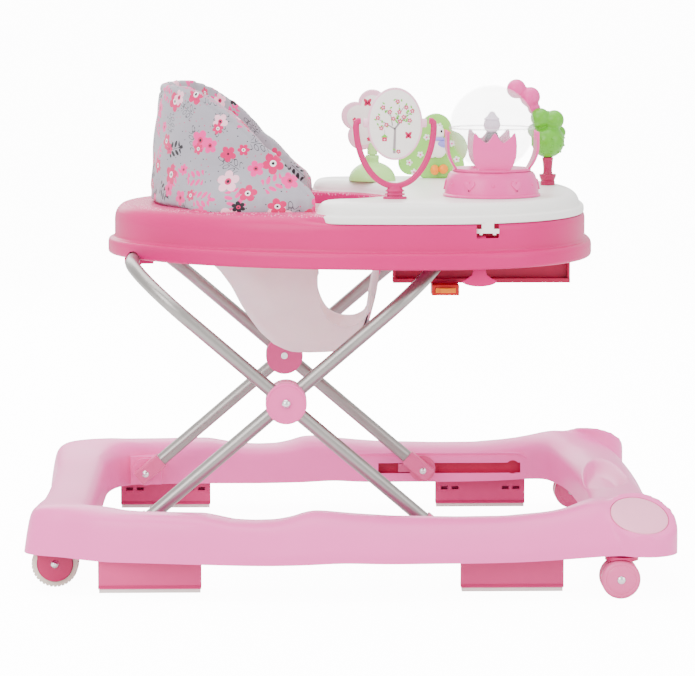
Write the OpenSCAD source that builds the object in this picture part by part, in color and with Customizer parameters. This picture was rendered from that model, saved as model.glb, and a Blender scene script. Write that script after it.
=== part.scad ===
// Folding activity baby walker. Millimetres, +X to the front, +Z up, origin on the floor at mid length.

/* [X frame] */
// Outside diameter of the steel tube
tube_d = 16; // [14:1:18]
// Height of the lower pivots
pivot_z = 60; // [58:1:62]
// Distance along X from the rear foot pivot to the centre pivot
half_span = 179; // [176:1:182]
// Height from the lower pivots to the centre pivot
half_rise = 153.25; // [150:0.25:155]
// Distance from the middle plane to the inner tube frame
inner_y = 220; // [218:1:222]
// Distance from the middle plane to the outer tube frame
outer_y = 238; // [236:1:239]
// Bend radius of both tube frames
bend_r = 90; // [70:5:100]
// Diameter of the pivot hub discs
hub_d = 47.5; // [44:0.5:50]

/* [Base ring] */
// Wall thickness of the moulded base shell
base_wall = 3; // [2.5:0.5:4]
// Length of the sliding slot
slot_len = 185; // [180:1:188]
// Height of the sliding slot
slot_h = 13.5; // [13:0.5:15]

/* [Wheels] */
// Diameter of the front caster wheels
caster_d = 44.6; // [42:0.2:45]
// Diameter of the rear wheels over the tyre
rear_d = 54; // [50:1:55]
// Width of the rear wheels
rear_w = 22; // [18:1:22]

/* [Tray] */
// Height of the tray's lower edge
tray_z = 367; // [366.5:0.5:368]
// Half width of the tray at the flange
tray_half_w = 258; // [250:1:262]
// Height of the tray deck
deck_z = 428; // [426:1:430]
// Height of the white tray's top
top_z = 442; // [440:1:446]

/* [Seat] */
// Height of the seat back's top edge
seat_top_z = 580; // [540:5:585]
// Thickness of the padded seat back
seat_pad = 16; // [12:1:18]

/* [Toys] */
// Diameter of the clear globe
globe_d = 100; // [90:1:104]
// Width of the oval mirror
mirror_w = 64; // [56:1:66]
// Height of the oval mirror
mirror_h = 84; // [76:1:86]

/* [Hidden] */
$fn = 64;
gap = 0.3;
fit = 0.05;
pin_r = 3;
tilt = atan2(half_rise, half_span);
half_leg = norm([half_span, half_rise]);
foot_x = -252.5;
slide_x = foot_x + 2 * half_span;
hub_x = foot_x + half_span;
hub_z = pivot_z + half_rise;
bar_z = pivot_z + 2 * half_rise;
frame_gap_y = (inner_y + outer_y) / 2;
slot_x = 48.5;
slot_wall_y = 253;
track_depth = 17;
hub_t = 20;
drum_pos = [331, 295];
drum_r = 40;
cap_pos = [327, 298, 91];
cap_tilt = [-28, 9, 0];
cap_r = 33.5;
caster_x = 304;
caster_y = 313;
caster_pivot_x = 309;
rear_x = -340;
rear_y = 226;
stop_len = 117;
stop_y = 290;
stop_x = [-229, 183];
egg_x = 75;
egg_front = 220.5;
egg_rear = 362;
seat_x = -92;
globe_pos = [169, -120, 522];
yoke_pos = [53.5, -165, 529];
flower_pos = [37, 150, 516];
tree_pos = [250, 60];
bush_y = 190;

pink = [0.93, 0.66, 0.77];
deep_pink = [0.78, 0.36, 0.55];
magenta = [0.91, 0.30, 0.56];
cream = [0.95, 0.94, 0.92];
steel = [0.70, 0.68, 0.67];
chrome = [0.82, 0.83, 0.84];
green = [0.71, 0.88, 0.62];
fabric = [0.80, 0.78, 0.80];

// ---------- shared shapes ----------

// Point of a superellipse outline: centre cx, half lengths front and rear, half width, exponents.
function sgn_pow(v, p) = sign(v) * pow(abs(v), p);
function egg_point(a, cx, front, rear, half_w, nf, nr) =
    let (n = cos(a) > 0 ? nf : nr)
    [cx + (cos(a) > 0 ? front : rear) * sgn_pow(cos(a), 2 / n), half_w * sgn_pow(sin(a), 2 / n)];
function egg(cx, front, rear, half_w, nf = 2.4, nr = 2, steps = 72) =
    [for (i = [0:steps - 1]) egg_point(i * 360 / steps, cx, front, rear, half_w, nf, nr)];
function tray_outline(d) = egg(egg_x, egg_front - d, egg_rear - d, tray_half_w - d);
function oval(w, h, steps = 48) =
    [for (i = [0:steps - 1]) [w / 2 * cos(i * 360 / steps), h / 2 * sin(i * 360 / steps)]];

// Solid between rings of points, each ring a closed loop of the same count.
module loft(rings, closed = false) {
    k = len(rings[0]);
    m = len(rings);
    last = closed ? m - 1 : m - 2;
    walls = [for (i = [0:last], j = [0:k - 1])
        let (a = i * k + j, b = i * k + (j + 1) % k, i2 = (i + 1) % m)
        each [[a, b, i2 * k + j], [b, i2 * k + (j + 1) % k, i2 * k + j]]];
    caps = closed ? [] : [[for (j = [k - 1:-1:0]) j], [for (j = [0:k - 1]) (m - 1) * k + j]];
    polyhedron([for (r = rings) each r], concat(walls, caps));
}

// Cylinder along Y between two distances from the middle plane.
module y_pin(r, y0, y1) {
    translate([0, y1, 0]) rotate([90, 0, 0]) cylinder(r = r, h = y1 - y0);
}

// Shape drawn in X and Z, made solid between two Y values.
module upright(y0, y1) {
    translate([0, y1, 0]) rotate([90, 0, 0]) linear_extrude(y1 - y0) children();
}

module both_sides() {
    children();
    mirror([0, 1, 0]) children();
}

module side(s) {
    if (s > 0) children();
    else mirror([0, 1, 0]) children();
}

module dome(r, h) {
    ball = (r * r + h * h) / (2 * h);
    intersection() {
        translate([0, 0, h - ball]) sphere(ball);
        cylinder(r = r + 1, h = h + 1);
    }
}

module box(x, y, z) {
    translate([x[0], y[0], z[0]]) cube([x[1] - x[0], y[1] - y[0], z[1] - z[0]]);
}

// ---------- base ring ----------

// Half of the ring from the rear middle to the front middle:
// outer bottom x, y, inner bottom x, y, top height, bottom height.
stations = [
    [-365, 0, -300, 0, 91, 42], [-367, 120, -300, 110, 91, 42], [-373, 200, -298, 185, 95, 41],
    [-371.5, 258, -284, 230, 99, 41], [-328, 284, -258, 248, 99, 41], [-284, 306, -230, 256, 96, 40],
    [-225, 318, -190, 258, 95, 40], [-168, 328, -150, 258, 94, 40], [-105, 335, -100, 258, 88, 40],
    [-55, 338, -50, 258, 97, 41], [-10, 339, -10, 257, 97, 43], [40, 338, 30, 253, 93, 42],
    [90, 336, 85, 253, 90, 42], [150, 333, 140, 253, 90, 42], [200, 331, 195, 253, 92, 43],
    [245, 328, 238, 253, 98, 45], [290, 328, 262, 232, 106, 48], [330, 318, 274, 204, 105, 48],
    [357, 290, 281, 172, 100, 48], [372, 245, 286, 130, 97, 48], [375.4, 150, 290, 75, 95, 46],
    [372.5, 0, 292, 0, 94, 45]];
steps_between = 3;

function mirrored(s) = [s[0], -s[1], s[2], -s[3], s[4], s[5]];
loop_stations = concat(stations, [for (i = [len(stations) - 2:-1:1]) mirrored(stations[i])]);
function smooth(a, b, c, d, t) =
    0.5 * (2 * b + (c - a) * t + (2 * a - 5 * b + 4 * c - d) * t * t + (3 * b - a - 3 * c + d) * t * t * t);
function ring_at(i) =
    let (n = len(loop_stations), k = floor(i / steps_between), t = (i % steps_between) / steps_between)
    smooth(loop_stations[(k + n - 1) % n], loop_stations[k % n], loop_stations[(k + 1) % n],
        loop_stations[(k + 2) % n], t);

// Section of the rail: fraction across from the outer to the inner edge, fraction of the height.
outer_section = [[0, 0], [0.03, 0.22], [0.14, 0.6], [0.25, 0.86], [0.40, 0.985], [0.58, 1], [0.8, 0.93],
    [0.94, 0.82], [1, 0.66], [1, 0]];
inner_section = [[1, 0], [1, 0.62], [0.9, 0.8], [0.58, 0.95], [0.42, 0.93], [0.28, 0.8], [0.05, 0.2], [0, 0]];
function section_point(s, p, wall) =
    let (w = norm([s[2] - s[0], s[3] - s[1]]), u = wall / w + p[0] * (1 - 2 * wall / w),
        drop = wall > 0 && p[1] > 0 ? wall * 0.4 : 0)
    [s[0] + (s[2] - s[0]) * u, s[1] + (s[3] - s[1]) * u, s[5] + (s[4] - s[5]) * p[1] - drop];
function rail_section(s) = concat([for (p = outer_section) section_point(s, p, 0)],
    [for (p = inner_section) section_point(s, p, base_wall)]);

// Puts a shape on the sloping top plane of a front corner.
module on_corner_plane() {
    translate(cap_pos) rotate(cap_tilt) children();
}

module base_ring() {
    color(pink) difference() {
        loft([for (i = [0:len(loop_stations) * steps_between - 1]) rail_section(ring_at(i))], closed = true);
        both_sides() {
            box([slot_x - 6, slot_x + slot_len + 6], [slot_wall_y - 6, slot_wall_y + 8],
                [pivot_z - 11, pivot_z + 11]);
            translate([caster_pivot_x, caster_y - 4, 40]) cylinder(r = 8.6, h = 40, $fn = 24);
        }
    }
}

// Drum shaped shells round the casters, cut off by the sloping plane.
module corner_housings() {
    color(pink) both_sides() difference() {
        translate([drum_pos[0], drum_pos[1], 48]) cylinder(r = drum_r, h = 80);
        intersection() {
            translate([drum_pos[0], drum_pos[1], 47]) cylinder(r = drum_r - base_wall, h = 80);
            on_corner_plane() translate([-100, -100, -205]) cube([200, 200, 200]);
        }
        on_corner_plane() translate([-100, -100, 0]) cube([200, 200, 100]);
        on_corner_plane() translate([0, 0, -2]) cylinder(r = cap_r + gap, h = 30);
    }
}

// Round caps set into the front corners over the casters.
module corner_caps() {
    color(pink) both_sides() on_corner_plane() translate([0, 0, -2]) cylinder(r = cap_r, h = 2.3);
}

// Sleeves inside the front corners that take the caster stems.
module caster_sockets() {
    color(pink) both_sides() translate([caster_pivot_x, caster_y - 4, 56]) difference() {
        union() {
            cylinder(r = 9, h = 23.5);
            translate([-15, -1.5, 6]) cube([73, 3, 12]);
            translate([-1.5, -40, 6]) cube([3, 57, 12]);
        }
        translate([0, 0, -1]) cylinder(r = 5 + fit, h = 24);
    }
}

// Slot liner in the inner wall of one side rail; the shoe runs in it.
module slide_track(s) {
    color(deep_pink) side(s) difference() {
        box([slot_x - 5.7, slot_x + slot_len + 5.7], [slot_wall_y, slot_wall_y + track_depth],
            [pivot_z - 10.7, pivot_z + 10.7]);
        box([slot_x, slot_x + slot_len], [slot_wall_y - 1, slot_wall_y + track_depth - 2.5],
            [pivot_z - slot_h / 2, pivot_z + slot_h / 2]);
        translate([slot_x + slot_len - 10, 0, pivot_z + 1])
            y_pin(8.8, slot_wall_y - 1, slot_wall_y + track_depth - 2.5);
    }
}

// Raised blocks on the inner wall that carry the rear foot pivots.
module rear_pivot_mounts() {
    mount_y = inner_y + 10 + gap;
    color(pink) both_sides() difference() {
        union() {
            box([foot_x - 20, foot_x + 20], [mount_y + 5.7, 256], [42.5, 79]);
            translate([foot_x, 0, pivot_z]) y_pin(17.5, mount_y, mount_y + 6);
        }
        translate([foot_x, 0, pivot_z]) y_pin(pin_r + fit, mount_y - 1, 252);
    }
}

module foot_rivets() {
    color(chrome) both_sides() translate([foot_x, 0, pivot_z]) {
        y_pin(pin_r, inner_y - 10.2, 247);
        translate([0, inner_y - 10.1, 0]) rotate([90, 0, 0]) dome(4.6, 2.4);
    }
}

module rear_forks() {
    color(deep_pink) both_sides() translate([rear_x, rear_y, 0]) difference() {
        union() {
            for (e = [-1, 1]) translate([0, e * (rear_w / 2 + 2.1), 0]) {
                translate([0, 0, rear_d / 2]) y_pin(20, -1.5, 1.5);
                box([-20, 20], [-1.5, 1.5], [rear_d / 2, 72]);
            }
            box([-20, 20], [-rear_w / 2 - 3.6, rear_w / 2 + 3.6], [64, 74]);
            box([-12, 12], [-12, 12], [74, 90]);
        }
        translate([0, 0, rear_d / 2]) y_pin(pin_r + fit, -30, 30);
    }
}

module rear_axles() {
    color(chrome) both_sides() translate([rear_x, rear_y, rear_d / 2]) {
        y_pin(pin_r, -rear_w / 2 - 4, rear_w / 2 + 4);
        translate([0, rear_w / 2 + 3.8, 0]) rotate([-90, 0, 0]) dome(5, 3);
        translate([0, -rear_w / 2 - 3.8, 0]) rotate([90, 0, 0]) dome(5, 3);
    }
}

// Bracket that hangs below the side rail and stops the walker at a step edge.
module stop_bracket(x, s) {
    color(deep_pink) side(s) difference() {
        union() {
            box([x - stop_len / 2, x + stop_len / 2], [stop_y - 7, stop_y + 7], [8.5, 52]);
            for (rx = [-42, 0, 42]) box([x + rx - 1.5, x + rx + 1.5], [stop_y - 8.5, stop_y + 8.5], [40, 52]);
        }
        box([x - stop_len / 2 + 3, x + stop_len / 2 - 3], [stop_y - 4, stop_y + 4], [12, 53]);
        for (e = [-1, 1], k = [33, 47])
            box([x + e * k - 4.5, x + e * k + 4.5], [stop_y - 8, stop_y - 3], [27, 31.5]);
    }
    color(deep_pink) side(s) translate([x, stop_y, 11]) cylinder(r = 5.5, h = (x < 0 ? 92 : 89) - 11);
}

module stop_strips() {
    color(cream) both_sides() for (x = stop_x)
        box([x - stop_len / 2 + 1, x + stop_len / 2 - 1], [stop_y - 6, stop_y + 6], [4, 8.5]);
}

// ---------- wheels ----------

module caster_fork(s) {
    color(pink) side(s) difference() {
        union() {
            translate([caster_pivot_x, caster_y - 4, 46]) cylinder(r = 8, h = 9.6);
            translate([caster_pivot_x, caster_y - 4, 45]) cylinder(r = 5, h = 32);
            translate([caster_x + 2, caster_y - 4, 43]) cylinder(r = 19, h = 4.5);
            translate([caster_x, 0, caster_d / 2]) y_pin(12, caster_y - 9.5, caster_y + 1.5);
            box([caster_x - 12, caster_x + 12], [caster_y - 9.5, caster_y + 1.5], [caster_d / 2, 45]);
        }
        translate([caster_x, 0, caster_d / 2]) y_pin(pin_r + fit, caster_y - 20, caster_y + 20);
        for (w = [[-22, -9.5], [1.5, 16]]) translate([caster_x, 0, caster_d / 2])
            y_pin(caster_d / 2 + 1, caster_y + w[0], caster_y + w[1]);
    }
}

// Pair of domed wheels, one on each side of the fork.
module caster_wheels(s) {
    profile = [[pin_r, 0], [caster_d / 2 - 1.5, 0], [caster_d / 2, 1.5], [caster_d / 2, 8.5],
        [caster_d / 2 - 2.5, 11.5], [caster_d / 2 - 8, 13.5], [pin_r, 14]];
    color(pink) side(s) translate([caster_x, caster_y - 4, caster_d / 2]) {
        translate([0, 5.9, 0]) rotate([-90, 0, 0]) rotate_extrude() polygon(profile);
        translate([0, -5.9, 0]) rotate([90, 0, 0]) rotate_extrude() polygon(profile);
    }
}

module caster_axle(s) {
    color(chrome) side(s) translate([caster_x, caster_y - 4, caster_d / 2]) {
        y_pin(pin_r, -20, 20);
        translate([0, 19.9, 0]) rotate([-90, 0, 0]) dome(4.4, 1.8);
        translate([0, -19.9, 0]) rotate([90, 0, 0]) dome(4.4, 1.8);
    }
}

module rear_hub(s) {
    color(deep_pink) side(s) translate([rear_x, rear_y, rear_d / 2]) difference() {
        union() {
            y_pin(rear_d / 2 - 6, -rear_w / 2 + 1, rear_w / 2 - 1);
            y_pin(7, -rear_w / 2, rear_w / 2);
        }
        y_pin(pin_r + fit, -rear_w, rear_w);
        for (a = [0:60:300]) rotate([0, a, 0]) translate([13, 0, 0]) y_pin(3.2, -rear_w, rear_w);
    }
}

// Pale tyre with shallow tread notches.
module rear_tyre(s) {
    notches = 36;
    color(cream) side(s) translate([rear_x, rear_y, rear_d / 2]) difference() {
        y_pin(rear_d / 2, -rear_w / 2, rear_w / 2);
        y_pin(rear_d / 2 - 6, -rear_w, rear_w);
        for (i = [0:notches - 1]) rotate([0, (i + 0.5) * 360 / notches, 0])
            box([rear_d / 2 - 1.2, rear_d / 2 + 2], [-rear_w, rear_w], [-0.8, 0.8]);
    }
}

// ---------- X frame ----------

// Places a shape drawn with the leg along +X, pivot at the origin, on one of the two frames.
module on_inner_leg() {
    translate([foot_x, 0, pivot_z]) rotate([0, -tilt, 0]) children();
}

module on_outer_leg() {
    translate([slide_x, 0, pivot_z]) mirror([1, 0, 0]) rotate([0, -tilt, 0]) children();
}

// One leg, bend and half cross bar. thick is the radius of the bar that is drawn.
module half_u(y, thick) {
    translate([12, y, 0]) rotate([0, 90, 0]) cylinder(r = thick, h = 2 * half_leg - bend_r - 12);
    translate([2 * half_leg - bend_r, y - bend_r, 0]) rotate_extrude(angle = 90, $fn = 96)
        translate([bend_r, 0]) circle(thick);
    translate([2 * half_leg, -0.01, 0]) rotate([-90, 0, 0]) cylinder(r = thick, h = y - bend_r + 0.01);
}

module u_frame(y) {
    difference() {
        both_sides() half_u(y, tube_d / 2);
        both_sides() half_u(y, tube_d / 2 - 1.2);
        translate([half_leg, 0, 0]) y_pin(pin_r + fit, -y - 20, y + 20);
    }
}

module inner_tube_frame() { color(steel) on_inner_leg() u_frame(inner_y); }

module outer_tube_frame() { color(steel) on_outer_leg() u_frame(outer_y); }

// Moulded socket on the end of a leg, with the pivot bore across it.
module leg_end(y) {
    difference() {
        intersection() {
            box([-11, 27], [y - 10, y + 10], [-9.6, 9.6]);
            translate([8, y, 0]) rotate([0, 90, 0]) cylinder(r = 12.6, h = 60, center = true);
        }
        translate([12, y, 0]) rotate([0, 90, 0]) cylinder(r = tube_d / 2, h = 40);
        y_pin(pin_r + fit, y - 20, y + 20);
    }
}

module inner_leg_ends() { color(deep_pink) on_inner_leg() both_sides() leg_end(inner_y); }

module outer_leg_ends() { color(deep_pink) on_outer_leg() both_sides() leg_end(outer_y); }

module hub(y, y0, y1) {
    translate([half_leg, 0, 0]) difference() {
        y_pin(hub_d / 2, y0, y1);
        translate([-50, y, 0]) rotate([0, 90, 0]) cylinder(r = tube_d / 2, h = 100);
        y_pin(pin_r + fit, y0 - 1, y1 + 1);
    }
}

module inner_hubs() {
    color(deep_pink) on_inner_leg() both_sides()
        hub(inner_y, frame_gap_y - hub_t, frame_gap_y - gap);
}

module outer_hubs() {
    color(pink) on_outer_leg() both_sides() hub(outer_y, frame_gap_y + gap, frame_gap_y + hub_t);
}

module hub_rivets() {
    color(chrome) both_sides() translate([hub_x, 0, hub_z]) {
        y_pin(pin_r, frame_gap_y - hub_t - 1, frame_gap_y + hub_t + 1.2);
        translate([0, frame_gap_y + hub_t + 0.4, 0]) rotate([-90, 0, 0]) dome(5.2, 3);
        translate([0, frame_gap_y - hub_t, 0]) rotate([90, 0, 0]) difference() {
            cylinder(r = 4.2, h = 1.6);
            translate([0, 0, 0.8]) cylinder(r = 2.2, h = 2);
        }
    }
}

// ---------- sliders ----------

// Flange, shoe and lock tongue that carry the lower end of the outer frame along the slot.
module slide_shoe(s) {
    shoe_y0 = outer_y + 10 + gap;
    deep = slot_wall_y + track_depth - 3.2;
    color(deep_pink) side(s) translate([slide_x, 0, 0]) difference() {
        union() {
            translate([0, 0, pivot_z]) y_pin(17, shoe_y0, slot_wall_y - 2 * gap);
            box([-16, 16], [shoe_y0 + 1, deep], [pivot_z - 6.2, pivot_z + 6.2]);
            box([-31, -15], [slot_wall_y + 2, deep], [pivot_z - 5.5, pivot_z + 5.5]);
        }
        translate([0, 0, pivot_z]) y_pin(pin_r + fit, shoe_y0 - 1, deep - 3);
    }
}

module slide_rivet(s) {
    color(chrome) side(s) translate([slide_x, 0, pivot_z]) {
        y_pin(pin_r, outer_y - 10.2, slot_wall_y + track_depth - 7);
        translate([0, outer_y - 10.1, 0]) rotate([90, 0, 0]) dome(4.6, 2.4);
    }
}

// ---------- tray ----------

seat_hole = egg(seat_x, 142, 124, 145, 2.3, 2.3, 48);
shoulder_z = deck_z - 10;

module tray_shell() {
    color(magenta) difference() {
        union() {
            translate([0, 0, tray_z]) linear_extrude(2) polygon(tray_outline(2));
            translate([0, 0, tray_z + 2]) linear_extrude(15) polygon(tray_outline(0));
            translate([0, 0, tray_z + 17]) linear_extrude(2) polygon(tray_outline(2));
            translate([0, 0, tray_z + 19]) linear_extrude(shoulder_z - tray_z - 19) polygon(tray_outline(8));
            translate([0, 0, shoulder_z]) linear_extrude(6) polygon(tray_outline(14));
            translate([0, 0, shoulder_z + 5]) linear_extrude(5) polygon(tray_outline(15.5));
        }
        translate([0, 0, tray_z - 1]) linear_extrude(15) polygon(tray_outline(3));
        translate([0, 0, tray_z]) linear_extrude(shoulder_z - tray_z - 3) polygon(tray_outline(11));
        translate([0, 0, tray_z]) linear_extrude(deck_z - 3 - tray_z) polygon(tray_outline(17));
        translate([0, 0, tray_z]) linear_extrude(deck_z) polygon(seat_hole);
        both_sides() {
            box([142, 172], [225, 256], [406, deck_z + 1]);
            translate([foot_x, 0, bar_z]) y_pin(tube_d / 2 + 1, 80, 150);
            box([foot_x - tube_d / 2 - 1, foot_x + tube_d / 2 + 1], [80, 150], [tray_z - 1, bar_z]);
        }
    }
}

// Clamps under the deck that the outer frame's cross bar turns in.
module bar_clamps() {
    color(magenta) for (y = [-62, 62]) difference() {
        union() {
            translate([foot_x, 0, bar_z]) y_pin(12, y - 9, y + 9);
            box([foot_x - 12, foot_x + 22], [y - 9, y + 9], [358, 382]);
            box([foot_x + 5, foot_x + 22], [y - 9, y + 9], [bar_z, deck_z - 3]);
        }
        translate([foot_x, 0, bar_z]) y_pin(tube_d / 2 + fit, y - 10, y + 10);
    }
}

// Slotted rails under the deck that the inner frame's cross bar slides in.
module guide_channels() {
    bar_min = slide_x - 34;
    bar_max = slide_x + 117;
    color(magenta) both_sides() difference() {
        union() {
            box([bar_min - 18, bar_max + 40], [104, 108], [339, deck_z - 3]);
            box([bar_min - 18, bar_max + 40], [88, 118], [339, 344]);
            box([bar_min - 18, bar_max + 44], [92, 116], [386, 390]);
            for (x = [bar_min - 18, bar_max + 37]) box([x, x + 3], [92, 116], [339, deck_z - 3]);
        }
        box([bar_min, bar_max], [100, 112], [bar_z - 8.4, bar_z + 8.4]);
    }
}

// Mushroom shaped hooks below the tray edge.
module storage_hooks() {
    color(magenta) both_sides() {
        box([128, 168], [229.5, 233.5], [347, 353]);
        box([139, 157], [229.5, 233.5], [353, 404]);
        box([139, 141.5], [233, 241], [382, 404]);
        box([154.5, 157], [233, 238.5], [382, 404]);
    }
}

module latch_housing() {
    color([0.8, 0.14, 0.13]) difference() {
        box([98, 130], [-146, -112], [327, 339]);
        box([102, 126], [-150, -122], [330, 336]);
    }
}

module latch_button() {
    color([0.93, 0.62, 0.16]) union() {
        box([102.3, 125.7], [-148, -130], [330.3, 335.7]);
        box([108, 120], [-151, -148], [330.3, 335.7]);
    }
}

// ---------- seat ----------

function seat_edge(a) = egg_point(a, seat_x, 150, 144, 161, 2.3, 2.3);
back_lean = 12;
wing_end_x = -44;
wing_a = acos(sgn_pow((wing_end_x - seat_x) / 150, 1.15));

// Height of the back's upper edge: straight down from the rear to the wing ends, a little crowned.
function back_top(x) =
    let (t = max(0, (x + 236) / (wing_end_x + 236)))
    deck_z + 20 + (seat_top_z - deck_z - 20) * (1 - pow(t, 1.5));
function back_section(a) =
    let (p = seat_edge(a), x = p[0], top = back_top(x), dir = [x - seat_x, p[1]] / norm([x - seat_x, p[1]]),
        z0 = deck_z + gap, lean = (top - z0) / (seat_top_z - z0) * back_lean, pad = seat_pad)
    [for (q = [[0, 0], [lean * 0.5, 0.5], [lean, 0.9], [lean + 5, 1], [lean + pad - 4, 1],
            [lean + pad, 0.92], [lean * 0.5 + pad, 0.5], [pad, 0]])
        [x - dir[0] * q[0], p[1] - dir[1] * q[0], z0 + (top - z0) * q[1]]];

module seat_back() {
    color(fabric) loft([for (i = [0:32]) back_section(wing_a + (360 - 2 * wing_a) * i / 32)]);
}

sling_side = [[-212, 425], [-200, 400], [-152, 348], [-103, 270], [-79, 251], [-49, 244.5], [0, 252],
    [20, 268], [36, 330], [49, 348], [49, 425]];
sling_front = [[132, 425], [118, 390], [98, 340], [78, 290], [58, 252], [40, 244], [0, 244]];
leg_hole = [[-46, 410], [-46, 346], [-40, 318], [-28, 298], [-12, 284], [2, 279], [14, 284], [20, 302],
    [24, 346], [24, 410]];

// Solid hung from the deck with the side view and front view of the sling, shrunk by d.
module sling_body(d) {
    intersection() {
        upright(-140, 140) polygon(
            [for (p = sling_side) [p[0] + (p[0] < -40 ? d : -d), p[1] + (p[1] < 400 ? d : 1)]]);
        rotate([90, 0, 90]) translate([0, 0, -300]) linear_extrude(400)
            polygon(concat([for (p = sling_front) [max(0, p[0] - d), p[1] + (p[1] < 400 ? d : 1)]],
                [for (i = [len(sling_front) - 1:-1:0]) [-max(0, sling_front[i][0] - d),
                    sling_front[i][1] + (sling_front[i][1] < 400 ? d : 1)]]));
    }
}

module seat_sling() {
    color(fabric) difference() {
        intersection() {
            sling_body(0);
            box([-220, 60], [-140, 140], [240, 425]);
        }
        sling_body(4);
        both_sides() {
            upright(34, 150) polygon(leg_hole);
            box([23, 60], [34, 150], [240, 410]);
        }
    }
}

// ---------- activity tray ----------

module lobed_front(d) {
    difference() {
        intersection() {
            polygon(tray_outline(d));
            union() {
                translate([-5, -300]) square([400, 600]);
                for (s = [-1, 1]) translate([-5, s * 200]) circle(38 - max(0, d - 9));
            }
        }
        polygon(egg(seat_x, 152 + max(0, d - 9), 150, 167 + max(0, d - 9), 2.3, 2.3, 48));
    }
}

module white_tray() {
    color(cream) difference() {
        union() {
            translate([0, 0, shoulder_z + gap]) linear_extrude(12) lobed_front(9);
            translate([0, 0, shoulder_z + 12]) linear_extrude(top_z - shoulder_z - 16) lobed_front(10);
            translate([0, 0, top_z - 4]) linear_extrude(2.5) lobed_front(12);
            translate([0, 0, top_z - 1.5]) linear_extrude(1.5) lobed_front(14);
            both_sides() {
                box([150, 164], [234, 237.5], [410, shoulder_z + 5]);
                box([144, 170], [234, 237.5], [408, 412]);
            }
        }
        translate([0, 0, shoulder_z - 1]) linear_extrude(deck_z + gap - shoulder_z + 1)
            polygon(tray_outline(13.4));
        translate([0, 0, deck_z]) linear_extrude(top_z - deck_z - 3) lobed_front(17);
    }
}

// U shaped arm: the space between two half ovals, with a foot.
module mirror_yoke() {
    color(magenta) translate(yoke_pos) difference() {
        union() {
            upright(-4, 4) difference() {
                polygon(oval(98, 152));
                polygon(oval(83, 138));
                translate([-60, 3]) square([120, 90]);
            }
            translate([0, 0, -81]) cylinder(r = 9, h = 7);
            for (z = [-87, -82]) box([-13, 13], [-7, 7], [z, z + 2.5]);
            translate([0, 0, -87]) cylinder(r = 8, h = 8);
        }
        rotate([0, 90, 0]) cylinder(r = 2 + fit, h = 120, center = true);
    }
}

module oval_mirror() {
    color([0.95, 0.9, 0.9]) translate(yoke_pos) {
        upright(-4, 4) polygon(oval(mirror_w, mirror_h));
        rotate([0, 90, 0]) cylinder(r = 5, h = mirror_w + 14, center = true);
        rotate([0, 90, 0]) cylinder(r = 2, h = 92, center = true);
    }
}

module flower_base() {
    color(green) translate([flower_pos[0], flower_pos[1], top_z]) difference() {
        union() {
            translate([0, 0, 0.1]) dome(29.5, 24);
            cylinder(r = 7, h = 32);
        }
        translate([0, 0, 8]) cylinder(r = 3 + fit, h = 40);
    }
}

module flower_spinner() {
    color([0.95, 0.8, 0.86]) translate(flower_pos) {
        upright(-4, 4) union() {
            circle(28);
            for (a = [0:72:288]) rotate(a + 90) translate([24, 0]) circle(16);
        }
        translate([0, 0, top_z + 32 + gap - flower_pos[2]]) cylinder(r = 6, h = 16);
        translate([0, 0, top_z + 9 - flower_pos[2]]) cylinder(r = 3, h = 30);
    }
}

module globe_base() {
    color(pink) translate([globe_pos[0], globe_pos[1], top_z])
        rotate_extrude() polygon([[0, 0.1], [57.5, 0.1],
        [57.5, 3], [55.5, 4], [52, 20], [48.5, 28], [46.5, 29.5], [14.55, 29.5], [14.55, 4], [0, 4]]);
}

module globe_shell() {
    color([0.9, 0.95, 0.95, 0.35]) translate(globe_pos) difference() {
        union() {
            sphere(globe_d / 2);
            cylinder(r = globe_d / 2 + 0.8, h = 1.6, center = true);
        }
        sphere(globe_d / 2 - 2);
        translate([0, 0, -60]) cylinder(r = 60, h = 60 - 46);
    }
}

// Tulip shaped plates that stand round the globe and turn with it.
module globe_cups() {
    color(pink) translate([globe_pos[0], globe_pos[1], top_z + 29.8]) union() {
        difference() {
            cylinder(r = 46, h = 3.2);
            translate([0, 0, -1]) cylinder(r = 14, h = 5);
        }
        translate([0, 0, -24]) difference() {
            cylinder(r = 14.5, h = 26);
            translate([0, 0, -1]) cylinder(r = 12, h = 30);
        }
        for (a = [0:90:270]) rotate(a) {
            upright(-54, -51) union() {
                translate([0, 22]) circle(19);
                for (e = [-1, 1]) translate([e * 13, 26]) rotate(-e * 12) union() {
                    circle(14);
                    translate([-5, 0]) square([16, 25]);
                }
                translate([-8, 0]) square([16, 8]);
                translate([0, 26]) rotate(45) square(24, center = true);
            }
            box([-8, 8], [-52, -42], [0, 3.2]);
        }
    }
}

module globe_figure() {
    color([0.3, 0.25, 0.35]) translate([globe_pos[0], globe_pos[1], top_z + 4]) {
        cylinder(r = 5, h = 46);
        translate([0, 0, 48]) rotate_extrude()
            polygon([[0, -4], [7, -4], [10, 6], [10, 16], [5, 26], [0, 27]]);
        translate([0, 0, 78]) sphere(10);
        translate([0, 0, 68]) cylinder(r = 3, h = 8);
    }
}

module bush_panel() {
    color(green) upright(bush_y - 5, bush_y + 5) union() {
        translate([115, top_z + 0.1]) for (c = [[4, 62, 21], [-28, 20, 16], [22, 38, 22], [-8, 40, 22]])
            translate([c[0], c[1]]) circle(c[2]);
        translate([72, top_z + 0.1]) square([80, 24]);
    }
}

module bird() {
    color(cream) translate([124, bush_y - 10, 482]) {
        sphere(12);
        translate([-3, 0, 19]) sphere(9);
        translate([4, -1, 18]) rotate([0, 90, 0]) cylinder(r1 = 5, r2 = 0.6, h = 9);
        for (x = [-6, 5]) translate([x, -1, -28]) cylinder(r = 5, h = 18);
        translate([0, 0, -2]) y_pin(4, 0, 8);
    }
}

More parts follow.
